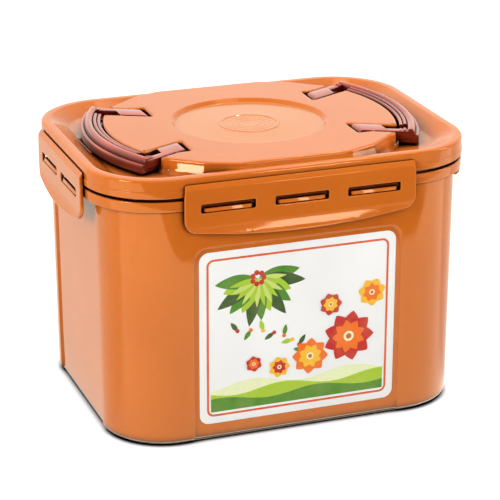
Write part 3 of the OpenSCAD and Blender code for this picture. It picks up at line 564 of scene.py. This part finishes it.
def grip_section(pocket):
    """Closed section of the grip as (rho, z), counter-clockwise; a pocket lowers the two inner ribs."""
    rho_in, rho_out = BOW_R - BOW_W, BOW_R
    rho = np.linspace(rho_out, rho_in, 74)
    top = rib_top(rho)
    if pocket:
        top = np.where(rho < BOW_R - 8.9, np.minimum(top, TOP - 4.4), top)
    low = rounded([(rho_in, TOP - 4.0), (rho_in, BOW_Z), (rho_out, BOW_Z), (rho_out, TOP - 4.2)],
                  [0, 0.9, 0.9, 0], 5)
    return np.vstack([low[1:-1], np.column_stack([rho, top])])


def handle_grip(shell, sx):
    """Grip: the section turned about the bow's centre through twice the end angle; at the ends it shrinks
    towards its middle by a quarter circle of 0.9 mm. Between the angles a_mid and a_in it has the pocket."""
    half = LEG_ANGLE + math.asin(LEG_W / 2 / BOW_R)
    a_in = LEG_ANGLE - math.asin(LEG_W / 2 / (BOW_R - BOW_W)) - 0.004
    a_mid = LEG_ANGLE + math.asin(LEG_W * 0.1 / BOW_R)
    turns = [(-half + depth / BOW_R, inset, False) for inset, depth in quarter_round(0.9, 6)]
    turns += [(-a_mid, 0, False), (-a_mid + 0.002, 0, True), (-a_in, 0, True), (-a_in + 0.002, 0, False)]
    ends = [(-t, inset, pocket) for t, inset, pocket in turns[::-1]]
    turns += [(t, 0, False) for t in np.linspace(-a_in, a_in, 73)[1:-1]] + ends
    mid = np.array([BOW_R - BOW_W / 2, (BOW_Z + TOP) / 2])
    span = np.array([BOW_W / 2, (TOP + 1.6 - BOW_Z) / 2])
    rings = []
    for t, inset, pocket in turns:
        rho, z = (mid + (grip_section(pocket) - mid) * (1 - inset / span)).T
        rings.append(np.column_stack([sx * (rho * math.cos(t) - BOW_OFF), rho * math.sin(t), z]))
    shell.rings(rings)


def leg_prism(shell, sx, sy, x_range, z_range, shares, heel=False):
    """Part of a leg: a section in x and z run in y between two lines at the leg's angle, which lie off its
    centre line by shares of its half width; its ends are quarter rounds, and the heel is a half circle."""
    (x0, x1), (z0, z1) = x_range, z_range
    if heel:
        r = LEG_T / 2 - 0.1
        arc = [(x0 - r * math.sin(a), PIVOT_Z - r * math.cos(a)) for a in np.linspace(0.2, math.pi - 0.2, 15)]
        sect = even(np.array([(x1, z1), (x0 + 1, z1)] + arc[::-1] + [(x0 + 1, z0), (x1, z0)]), 2.5)
    else:
        sect = even(rounded([(x0, z0), (x1, z0), (x1, z1), (x0, z1)], 0.5, 4, closed=True), 2.5)
    rings = []
    for sign, share in zip((-1, 1), shares):
        for inset, depth in quarter_round(0.7, 5, -sign):
            x, z = moved_out(sect, -inset).T
            rings.append(np.column_stack([sx * x, sy * (leg_line(x, share) - sign * depth), z]))
    shell.rings(rings)


def handle_body(name, sx):
    """Handle: the ribbed grip, and for each leg a full strap, its outer part and its low floor beside the
    grip, where the hollow is, with two round pins at the heel."""
    shell = Shell()
    handle_grip(shell, sx)
    z0, z1, tuck = TOP - LEG_T, TOP, 0.02
    hollow_x = (BOW_R - BOW_W - 10) * LEG_COS - BOW_OFF
    beside = (hollow_x - 1.5, 98.0)
    pin_half = LEG_W / 2 / LEG_COS + 5.4
    for sy in (1, -1):
        leg_prism(shell, sx, sy, (PIVOT_X, hollow_x), (z0, z1), (-1, 1), heel=True)
        leg_prism(shell, sx, sy, beside, (z0 + tuck, z1 - tuck), (0.2, 1))
        leg_prism(shell, sx, sy, beside, (z0 + tuck, z1 - 4), (-1, 0.3))
        rings = []
        for d, r in ((-pin_half, 1.2), (-pin_half + 0.4, 1.6), (pin_half - 0.4, 1.6), (pin_half, 1.2)):
            x, z = (round_points(24) * r + [sx * PIVOT_X, PIVOT_Z]).T
            rings.append(np.column_stack([x, np.full(24, sy * leg_line(PIVOT_X) + d), z]))
        shell.rings(rings)
    return shell.build(name, 42)


# Label

def on_panel(points, depth):
    """Places points (x, u) on the front panel: u runs up the leaning face from the label's lower edge, and
    depth is outward."""
    lean = math.atan(LEAN_OUT)
    along = label_low[2] + points[:, 1]
    y = PANEL_DEPTH + 3.0 - LID_Y - along * math.sin(lean) - depth
    return np.column_stack([points[:, 0], y, along * math.cos(lean)])


def label_loop(inset, radius, step):
    """The sticker's rounded rectangle, moved in by an inset."""
    x, low, high = LABEL_HALF - inset, inset, LABEL_H - inset
    return even(rounded([(-x, low), (x, low), (x, high), (-x, high)], radius, 10, closed=True), step)


def label_sheet():
    """Sticker: a rounded rectangle of paper with a small quarter round at its outer edge, on the panel."""
    loop = label_loop(0, LABEL_R, 6)
    rings = [on_panel(loop, 0.0)]
    rings += [on_panel(moved_out(loop, -depth), LABEL_T - inset) for inset, depth in quarter_round(0.15, 4)]
    shell = Shell()
    shell.rings(rings + [on_panel(moved_out(loop, -0.6), LABEL_T)])
    return shell.build("label_sheet", 30)


def leaf(centre, length, width, turn, n=17):
    """Leaf outline: half width = width / 2 * sin(pi * s) ^ 0.8 * (1.15 - 0.3 s) at share s of its length."""
    s = np.linspace(0, 1, n)
    w = width / 2 * np.sin(np.pi * s) ** 0.8 * (1.15 - 0.3 * s)
    p = np.column_stack([np.concatenate([s, s[-2:0:-1]]) * length, np.concatenate([-w, w[-2:0:-1]])])
    c, q = math.cos(turn), math.sin(turn)
    return centre + p @ np.array([(c, q), (-q, c)])


def disc(centre, r, n=40):
    """Circle of radius r."""
    return centre + round_points(n) * r


def blossom(centre, r, petals, outer, inner):
    """A ring of leaf-shaped petals, a smaller ring turned by half a petal, and two discs in the middle."""
    wide = 1.9 * r * math.sin(math.pi / petals)
    out = []
    for length, width, start, colour in ((r, 1.05 * wide, 0, outer), (0.66 * r, 0.62 * wide, 0.5, inner)):
        for k in range(petals):
            turn = 2 * math.pi * (k + start) / petals + 0.11 * r
            out.append((leaf(centre, length, width, turn, 13), colour))
    return out + [(disc(centre, 0.2 * r), PALE), (disc(centre, 0.11 * r, 20), BROWN)]


def print_shapes():
    """Shapes of the generic print as (outline, colour), in the order they lie: a fan of leaves with berries,
    three waves, a curved trail of small leaves and berries, and six blossoms, inside the border line; places
    in mm from the sticker's lower middle."""
    fan = np.array([-30, 104])
    out = []
    for k in range(13):
        turn = math.radians(8 - 15.5 * k)
        out.append((leaf(fan, 31 + 5 * math.sin(k * 2.1), 10.5, turn), (GREEN, DARK, LIGHT)[k % 3]))
    for k in range(12):
        out.append((leaf(fan, 21, 4.2, math.radians(1 - 15.5 * k)), LIGHT if k % 2 else LIME))
    for k in range(7):
        berry = fan + [4.2 * math.cos(k * 0.9), 0.5 + 4.2 * math.sin(k * 0.9)]
        out.append((disc(berry, 1.9, 18), RED))
    wave = np.linspace(-64.4, 64.4, 65)
    for base, amp, colour in ((27, 3.0, MEADOW), (22, 2.6, LIGHT), (16.5, 2.2, GREEN)):
        top = np.column_stack([wave, base + amp * np.sin(wave / 11.5 + 0.4 * base)])
        out.append((np.vstack([at_height(wave[:, None], 8.6), top[::-1]]), colour))
    for k in range(11):
        turn = 0.35 + 0.16 * k
        spot = np.array([-62 + 50 * math.sin(turn) + 2.4 * k, 24 + 46 * math.cos(turn) + 2.5 * k])
        out.append((leaf(spot, 8.5, 3.4, 2.2 + 2.1 * (k % 2) - 0.2 * k, 11), (DARK, GREEN, LIGHT)[k % 3]))
        out.append((disc(spot, 1.5, 16), (RED, ORANGE, YELLOW)[k % 3]))
    for x, y, r, petals, outer, inner in ((38, 52, 19, 9, RED, ORANGE), (9, 41, 13.5, 8, ORANGE, YELLOW),
                                          (55, 83, 10.5, 7, YELLOW, ORANGE), (24, 78, 8.5, 7, RED, YELLOW),
                                          (-14, 36, 8, 7, YELLOW, RED), (-33, 41, 6, 6, RED, ORANGE)):
        out += blossom(np.array([x, y]), r, petals, outer, inner)
    return out


def label_print():
    """Print: each shape is a flat face 0.03 mm above the paper, each later one 0.004 mm higher, with its
    colour in the attribute ink; the border line lies between a rounded rectangle and the same moved in."""
    shell = Shell()
    base = LABEL_T + 0.03
    outer = label_loop(5.2, 5.2, 8)
    n = len(outer)
    shell.add(on_panel(np.vstack([outer, moved_out(outer, -1.6)]), base),
              [(i, (i + 1) % n, n + (i + 1) % n, n + i) for i in range(n)])
    inks = [RUST] * n
    for k, (loop, colour) in enumerate(print_shapes()):
        loop = loop[np.concatenate([[True], np.linalg.norm(np.diff(loop, axis=0), axis=1) > 1e-3])]
        faces = []
        for face in tessellate_polygon([[Vector(p) for p in at_height(loop, 0)]]):
            a, b, c = loop[list(face)]
            upward = (b[0] - a[0]) * (c[1] - a[1]) > (b[1] - a[1]) * (c[0] - a[0])
            faces.append(face if upward else face[::-1])
        shell.add(on_panel(loop, base + 0.004 * (k + 1)), faces)
        inks += [colour] * len(faces)
    obj = shell.build("label_print", 30, outward=False)
    ink = obj.data.color_attributes.new("ink", "FLOAT_COLOR", "CORNER")
    corners = [p.loop_total for p in obj.data.polygons]
    colours = np.repeat(at_height(np.array(inks), 1.0), corners, 0)
    ink.data.foreach_set("color", colours.ravel().astype(np.float32))
    return obj


# Materials

def feed(tree, node, values):
    """Sets a node's inputs by name or number: a node's output is linked, anything else is a constant."""
    for key, value in values.items():
        if isinstance(value, bpy.types.NodeSocket):
            tree.links.new(value, node.inputs[key])
        else:
            node.inputs[key].default_value = value


def new_material(name):
    """A fresh node material, with its node tree, its Principled node and a texture coordinate node."""
    mat = bpy.data.materials.new(name)
    mat.use_nodes = True
    tree = mat.node_tree
    return mat, tree, tree.nodes["Principled BSDF"], tree.nodes.new("ShaderNodeTexCoord")


def noise(tree, coord, scale, detail=3.0, rough=0.5):
    """Noise in the object's own coordinates; its scale is the number of cells to the metre."""
    node = tree.nodes.new("ShaderNodeTexNoise")
    feed(tree, node, {"Scale": scale, "Detail": detail, "Roughness": rough})
    tree.links.new(coord.outputs["Object"], node.inputs["Vector"])
    return node.outputs["Fac"]


def ranged(tree, source, low, high, src=(0.3, 0.7), smooth=False):
    """Change of a value from the range src to the range low to high, linear or by a smooth step, and held at
    the ends."""
    node = tree.nodes.new("ShaderNodeMapRange")
    if smooth:
        node.interpolation_type = "SMOOTHSTEP"
    feed(tree, node, {"Value": source, "From Min": src[0], "From Max": src[1], "To Min": low, "To Max": high})
    return node.outputs["Result"]


def mixed(tree, factor, first, second, how="MIX"):
    """Blend of two colours by a factor; a colour is a node's output or a constant (red, green, blue)."""
    node = tree.nodes.new("ShaderNodeMix")
    node.data_type, node.blend_type = "RGBA", how
    first, second = (c + (1.0,) if isinstance(c, tuple) else c for c in (first, second))
    feed(tree, node, {"Factor": factor, 6: first, 7: second})
    return node.outputs[2]


def maths(tree, operation, *values):
    """Result of one maths node; each value is a node's output or a number."""
    node = tree.nodes.new("ShaderNodeMath")
    node.operation = operation
    feed(tree, node, dict(enumerate(values)))
    return node.outputs[0]


def split(tree, vector):
    """The outputs X, Y and Z of a vector."""
    node = tree.nodes.new("ShaderNodeSeparateXYZ")
    tree.links.new(vector, node.inputs[0])
    return node.outputs


def bumps(tree, layers):
    """Normal from bump layers, each (height, strength, distance in metres), one after the other."""
    normal = None
    for height, strength, distance in layers:
        node = tree.nodes.new("ShaderNodeBump")
        feed(tree, node, {"Strength": strength, "Distance": distance, "Height": height})
        if normal is not None:
            tree.links.new(normal, node.inputs["Normal"])
        normal = node.outputs["Normal"]
    return normal


def crevice(tree, reach, low, high, samples=8):
    """0 deep in a narrow gap and 1 in the open, from the share of the space within a reach that is free."""
    near = tree.nodes.new("ShaderNodeAmbientOcclusion")
    near.samples = samples
    near.inputs["Distance"].default_value = reach
    return ranged(tree, near.outputs["AO"], 0.0, 1.0, (low, high))


def in_dish(tree, coord, radius, height):
    """1 inside a circle about the object's Z axis and below a height, else 0: x^2 + y^2 < r^2 and z < h."""
    axes = split(tree, coord.outputs["Object"])
    squares = [maths(tree, "MULTIPLY", axes[name], axes[name]) for name in ("X", "Y")]
    within = maths(tree, "LESS_THAN", maths(tree, "ADD", *squares), radius ** 2)
    return maths(tree, "MULTIPLY", within, maths(tree, "LESS_THAN", axes["Z"], height))


def clay_plastic(name, base, deep, rough=(0.03, 0.07), dish=None):
    """Glossy moulded plastic: slow colour drift of two clay tones, fine flow mottling, a soft orange-peel
    bump, smoother and duller patches, a little light passing under the surface, and painted shade that
    darkens gaps and crevices to near black. A dish is (radius, height, tone) of a round recess whose floor is
    painted a paler tone as painted light."""
    mat, tree, bsdf, coord = new_material(name)
    slow = noise(tree, coord, 9.0, 2.0)
    fine = noise(tree, coord, 160.0, 4.0, 0.6)
    patches = noise(tree, coord, 34.0, 3.0)
    tone = mixed(tree, ranged(tree, slow, 0.0, 1.0), base, deep)
    tone = mixed(tree, ranged(tree, fine, 0.0, 0.16), tone, tuple(c * 0.72 for c in base))
    # Painted light: the dish's tone makes the recess floor paler, standing for the light it catches.
    if dish:
        tone = mixed(tree, in_dish(tree, coord, dish[0], dish[1]), tone, dish[2])
    wave, peel = noise(tree, coord, 22.0, 1.0), noise(tree, coord, 210.0, 2.0)
    feed(tree, bsdf, {
        # Painted shade: the base colour turns near black where the free-space mask finds a narrow gap or
        # crevice.
        "Base Color": mixed(tree, crevice(tree, 0.012, 0.44, 0.86), (0.02, 0.002, 0.0005), tone),
        "Roughness": ranged(tree, patches, rough[0], rough[1]),
        "IOR": 1.5,
        "Specular Tint": (1.0, 0.66, 0.42, 1.0),
        "Subsurface Weight": 0.12,
        "Subsurface Radius": (1.0, 0.35, 0.12),
        "Subsurface Scale": 0.006,
        "Normal": bumps(tree, [(wave, 0.2, 0.0003), (peel, 0.08, 0.00006)])})
    return mat


def handle_plastic():
    """Dark red-brown translucent plastic: part of the light passes through and takes the body's colour,
    which drifts with a slow noise; faces that look up get a brighter red as painted light from above, and
    narrow gaps go near black as painted shade; a clear, hard gloss and a faint flow bump."""
    mat, tree, bsdf, coord = new_material("bail_translucent")
    drift = ranged(tree, noise(tree, coord, 26.0, 3.0), 0.0, 1.0)
    body = mixed(tree, drift, (0.20, 0.020, 0.008), (0.09, 0.008, 0.004))
    # Painted light: a lit copy of the body tone, used on faces that look up.
    lit = mixed(tree, drift, (0.62, 0.062, 0.020), (0.30, 0.024, 0.009))
    upward = ranged(tree, split(tree, coord.outputs["Normal"])["Z"], 0.0, 1.0, (0.35, 0.95))
    # Painted shade: narrow gaps turn near black through the free-space mask.
    gap = crevice(tree, 0.008, 0.42, 0.95)
    feed(tree, bsdf, {
        "Base Color": mixed(tree, gap, (0.05, 0.002, 0.001), mixed(tree, upward, body, lit)),
        "Roughness": ranged(tree, noise(tree, coord, 120.0, 3.0), 0.05, 0.12),
        "IOR": 1.53,
        "Specular Tint": (1.0, 0.68, 0.60, 1.0),
        "Transmission Weight": 0.15,
        "Coat Weight": 0.35,
        "Coat Roughness": 0.04,
        "Normal": bumps(tree, [(noise(tree, coord, 60.0, 1.0), 0.2, 0.0004)])})
    return mat


def paper(name, ink=False):
    """Coated paper: white with a faint fibre mottle, or the attribute ink with a faint dot grain; satin gloss
    and a fine fibre bump."""
    mat, tree, bsdf, coord = new_material(name)
    fibre = noise(tree, coord, 900.0, 5.0, 0.65)
    cloud = noise(tree, coord, 14.0, 2.0)
    if ink:
        attribute = tree.nodes.new("ShaderNodeAttribute")
        attribute.attribute_name = "ink"
        drift = ranged(tree, noise(tree, coord, 75.0, 3.0), 0.0, 0.10)
        tone = mixed(tree, drift, attribute.outputs["Color"], (0.9, 0.72, 0.35))
        tone = mixed(tree, ranged(tree, fibre, 0.0, 0.12), tone, (0.05, 0.02, 0.01))
    else:
        tone = mixed(tree, ranged(tree, cloud, 0.0, 1.0), (0.86, 0.86, 0.845), (0.80, 0.795, 0.775))
    feed(tree, bsdf, {
        "Base Color": tone,
        "Roughness": ranged(tree, cloud, 0.32, 0.42),
        "Specular IOR Level": 0.2,
        "Normal": bumps(tree, [(fibre, 0.08, 0.00004)])})
    return mat


def soft_rubber(name, base, rough):
    """Silicone: a cloudy tone, a matte face with fine dust specks and a soft grain bump."""
    mat, tree, bsdf, coord = new_material(name)
    cloud = ranged(tree, noise(tree, coord, 55.0, 3.0), 0.0, 0.35)
    grain = noise(tree, coord, 1100.0, 2.0)
    feed(tree, bsdf, {
        "Base Color": mixed(tree, cloud, base, tuple(min(1, c * 1.25) for c in base)),
        "Roughness": ranged(tree, grain, rough - 0.06, rough + 0.08),
        "Subsurface Weight": 0.15,
        "Subsurface Radius": (1.0, 0.8, 0.7),
        "Subsurface Scale": 0.002,
        "Normal": bumps(tree, [(grain, 0.15, 0.00005)])})
    return mat


def dress(obj, material):
    """Gives an object one material."""
    obj.data.materials.clear()
    obj.data.materials.append(material)


# Make the pieces

CLAY, CLAY_DEEP = (0.60, 0.146, 0.016), (0.53, 0.120, 0.012)
clay = clay_plastic("clay_gloss", CLAY, CLAY_DEEP)
tub = tub_body()
dress(tub, clay)
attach(tub, "tub")
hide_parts("tub")

lid = lid_body()
# Painted light: the recess floor inside the dish gets a paler tone, standing for the light it catches.
recess_painted_light = ((RECESS_R - RECESS_SLOPE) * MM, (TOP - 0.8 * RECESS_DEPTH) * MM, (0.575, 0.190, 0.050))
dress(lid, clay_plastic("clay_lid", CLAY, CLAY_DEEP, dish=recess_painted_light))
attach(lid, "lid")
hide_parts("outer_lid")

long_flap = (front_high[0], PITCH_FRONT, 3, LID_Y + FLAP_GAP)
short_flap = (side_high[1], PITCH_SIDE, 2, LID_X + FLAP_GAP)
for side, (name, body, sizes) in enumerate((("latch_front", "front_flap", long_flap),
                                            ("latch_right", "right_flap", short_flap),
                                            ("latch_back", "back_flap", long_flap),
                                            ("latch_left", "left_flap", short_flap))):
    flap = flap_plate(name + "_moulding", *sizes, side)
    dress(flap, clay)
    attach(flap, body)
    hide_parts(name)

brown = handle_plastic()
for name, sx, body in (("handle_right", 1, "right_handle"), ("handle_left", -1, "left_handle")):
    bail = handle_body(name + "_bail", sx)
    dress(bail, brown)
    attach(bail, body)
    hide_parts(name)

sheet = label_sheet()
dress(sheet, paper("label_stock"))
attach(sheet, "tub")
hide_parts("label")
artwork = label_print()
dress(artwork, paper("label_inks", ink=True))
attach(artwork, "tub")

press_clay = clay_plastic("press_clay", (0.70, 0.21, 0.06), (0.62, 0.175, 0.048), (0.24, 0.34))
silicone = soft_rubber("silicone_pale", (0.62, 0.59, 0.54), 0.55)
rubber = soft_rubber("silicone_brown", (0.24, 0.08, 0.045), 0.5)
for name, mat in (("press_lid", press_clay), ("lid_gasket", silicone),
                  ("press_seal", silicone), ("vent_plug", rubber)):
    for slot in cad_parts[name].material_slots:
        slot.material = mat


# Camera and light, with places in metres

def aimed(name, data, place, target):
    """New object at a place, turned to a target."""
    obj = linked(name, data)
    obj.location = place
    obj.rotation_euler = (Vector(target) - Vector(place)).to_track_quat("-Z", "Y").to_euler()
    return obj


def soft_box(name, place, target, size, power):
    """Area lamp of a width and height at a place, turned to a target."""
    lamp = bpy.data.lights.new(name, "AREA")
    lamp.shape = "RECTANGLE"
    lamp.size, lamp.size_y = size
    lamp.energy = power
    return aimed(name, lamp, place, target)


camera = aimed("camera", bpy.data.cameras.new("camera"), (-0.5029, -1.3812, 0.6408), (0.0006, 0, 0.0992))
camera.data.lens = 153.95
bpy.context.scene.camera = camera
bpy.context.scene.view_settings.view_transform = "Standard"

soft_box("overhead", (0.15, 0.2, 1.35), (0, 0, 0.15), (1.0, 0.6), 4.4)
soft_box("left_key", (-1.21, -0.58, 0.71), (0, 0, 0.16), (0.40, 0.44), 13.5)
soft_box("lip_card", (0.47, -1.32, 0.38), (0, -0.1, 0.16), (0.13, 0.46), 2.3)
soft_box("lip_tail", (0.80, -1.15, 0.26), (0.05, -0.1, 0.16), (0.40, 0.14), 0.8)
soft_box("crest_card", (0.42, 0.06, 1.22), (0.05, -0.1, 0.19), (0.13, 0.13), 1.3)
soft_box("right_fill", (1.2, -0.4, 0.7), (0, 0, 0.1), (0.4, 0.8), 6)
front_fill = soft_box("front_fill", (0.1, -1.7, 0.75), (0, 0, 0.1), (1.2, 0.7), 10)
front_fill.visible_glossy = False


def studio_world():
    """Surroundings: plain white for the camera; for all other rays a sky that gets brighter from the front to
    the back by a smooth step, and whiter from the horizon up."""
    world = bpy.data.worlds.new("studio")
    bpy.context.scene.world = world
    world.use_nodes = True
    tree = world.node_tree
    tree.nodes.clear()
    axes = split(tree, tree.nodes.new("ShaderNodeTexCoord").outputs["Generated"])
    sky, plain = (tree.nodes.new("ShaderNodeBackground") for _ in range(2))
    feed(tree, sky, {"Strength": ranged(tree, axes["Y"], 0.12, 1.45, (-0.35, 0.45), smooth=True),
                     "Color": mixed(tree, ranged(tree, axes["Z"], 0.0, 1.0, (0.0, 0.9)),
                                    (0.90, 0.90, 0.80), (1.0, 0.98, 0.95))})
    feed(tree, plain, {"Strength": 1.0, "Color": (1, 1, 1, 1)})
    path = tree.nodes.new("ShaderNodeLightPath")
    either = tree.nodes.new("ShaderNodeMixShader")
    feed(tree, either, {0: path.outputs["Is Camera Ray"], 1: sky.outputs[0], 2: plain.outputs[0]})
    tree.links.new(either.outputs[0], tree.nodes.new("ShaderNodeOutputWorld").inputs["Surface"])


def studio_floor():
    """White floor: a diffuse face for shadow and bounce plus a small glow, so that the open floor is white,
    with a painted contact shadow, a dark line where it touches the object, and a faint grey painted shadow
    round it.
    In reflections it is a bright sheet that leaves the upper part of the front walls darker: its front
    edge lies 0.42 m before the origin and slants off on the left, and to the right of 0.4 m it has none."""
    mesh = bpy.data.meshes.new("floor")
    mesh.from_pydata([(-6, -6, 0), (6, -6, 0), (6, 6, 0), (-6, 6, 0)], [], [(0, 1, 2, 3)])
    obj = linked("floor", mesh)
    mat = bpy.data.materials.new("floor_white")
    mat.use_nodes = True
    tree = mat.node_tree
    tree.nodes.clear()
    white = (1.0, 1.0, 1.0)
    path = tree.nodes.new("ShaderNodeLightPath").outputs
    by_camera, by_gloss = path["Is Camera Ray"], path["Is Glossy Ray"]
    axes = split(tree, tree.nodes.new("ShaderNodeTexCoord").outputs["Object"])
    # Painted shadow: free-space masks give a dark line at the contact and a faint grey spread round the
    # object.
    painted_contact_shadow = crevice(tree, 0.008, 0.30, 0.72, 16)
    painted_shadow_spread = crevice(tree, 0.06, 0.30, 0.95, 16)

    leftwards = maths(tree, "MINIMUM", maths(tree, "SUBTRACT", axes["X"], 0.043), 0.0)
    slanted_y = maths(tree, "SUBTRACT", axes["Y"], maths(tree, "MULTIPLY", leftwards, 0.47))
    radiance = ranged(tree, axes["Y"], 2.7, 1.2, (-0.10, -0.05), smooth=True)
    front_part = ranged(tree, slanted_y, 0.0, radiance, (-0.425, -0.412), smooth=True)
    right_part = ranged(tree, axes["X"], 0.0, 1.2, (0.36, 0.46), smooth=True)
    sheet_glow = maths(tree, "MULTIPLY", by_gloss, maths(tree, "MAXIMUM", front_part, right_part))
    # The glow fades where the object stands, part of the painted contact shadow.
    open_glow = ranged(tree, painted_contact_shadow, 0.0, 0.42, (0.0, 1.0))

    colour = mixed(tree, by_camera, (0.42, 0.42, 0.42), (0.9, 0.9, 0.9))
    # Painted shadow: the floor colour is darkened by both masks.
    for shade in (mixed(tree, painted_shadow_spread, (0.76, 0.72, 0.78), white),
                  mixed(tree, painted_contact_shadow, (0.0, 0.0, 0.0), white),
                  mixed(tree, by_gloss, white, (0.05, 0.05, 0.05))):
        colour = mixed(tree, 1.0, colour, shade, "MULTIPLY")
    diffuse = tree.nodes.new("ShaderNodeBsdfDiffuse")
    tree.links.new(colour, diffuse.inputs["Color"])
    glow = tree.nodes.new("ShaderNodeEmission")
    feed(tree, glow, {"Color": mixed(tree, by_gloss, white, (1.0, 0.93, 0.80)),
                      "Strength": maths(tree, "MULTIPLY_ADD", by_camera, open_glow, sheet_glow)})
    both = tree.nodes.new("ShaderNodeAddShader")
    feed(tree, both, {0: diffuse.outputs[0], 1: glow.outputs[0]})
    tree.links.new(both.outputs[0], tree.nodes.new("ShaderNodeOutputMaterial").inputs["Surface"])
    mesh.materials.append(mat)


studio_world()
studio_floor()
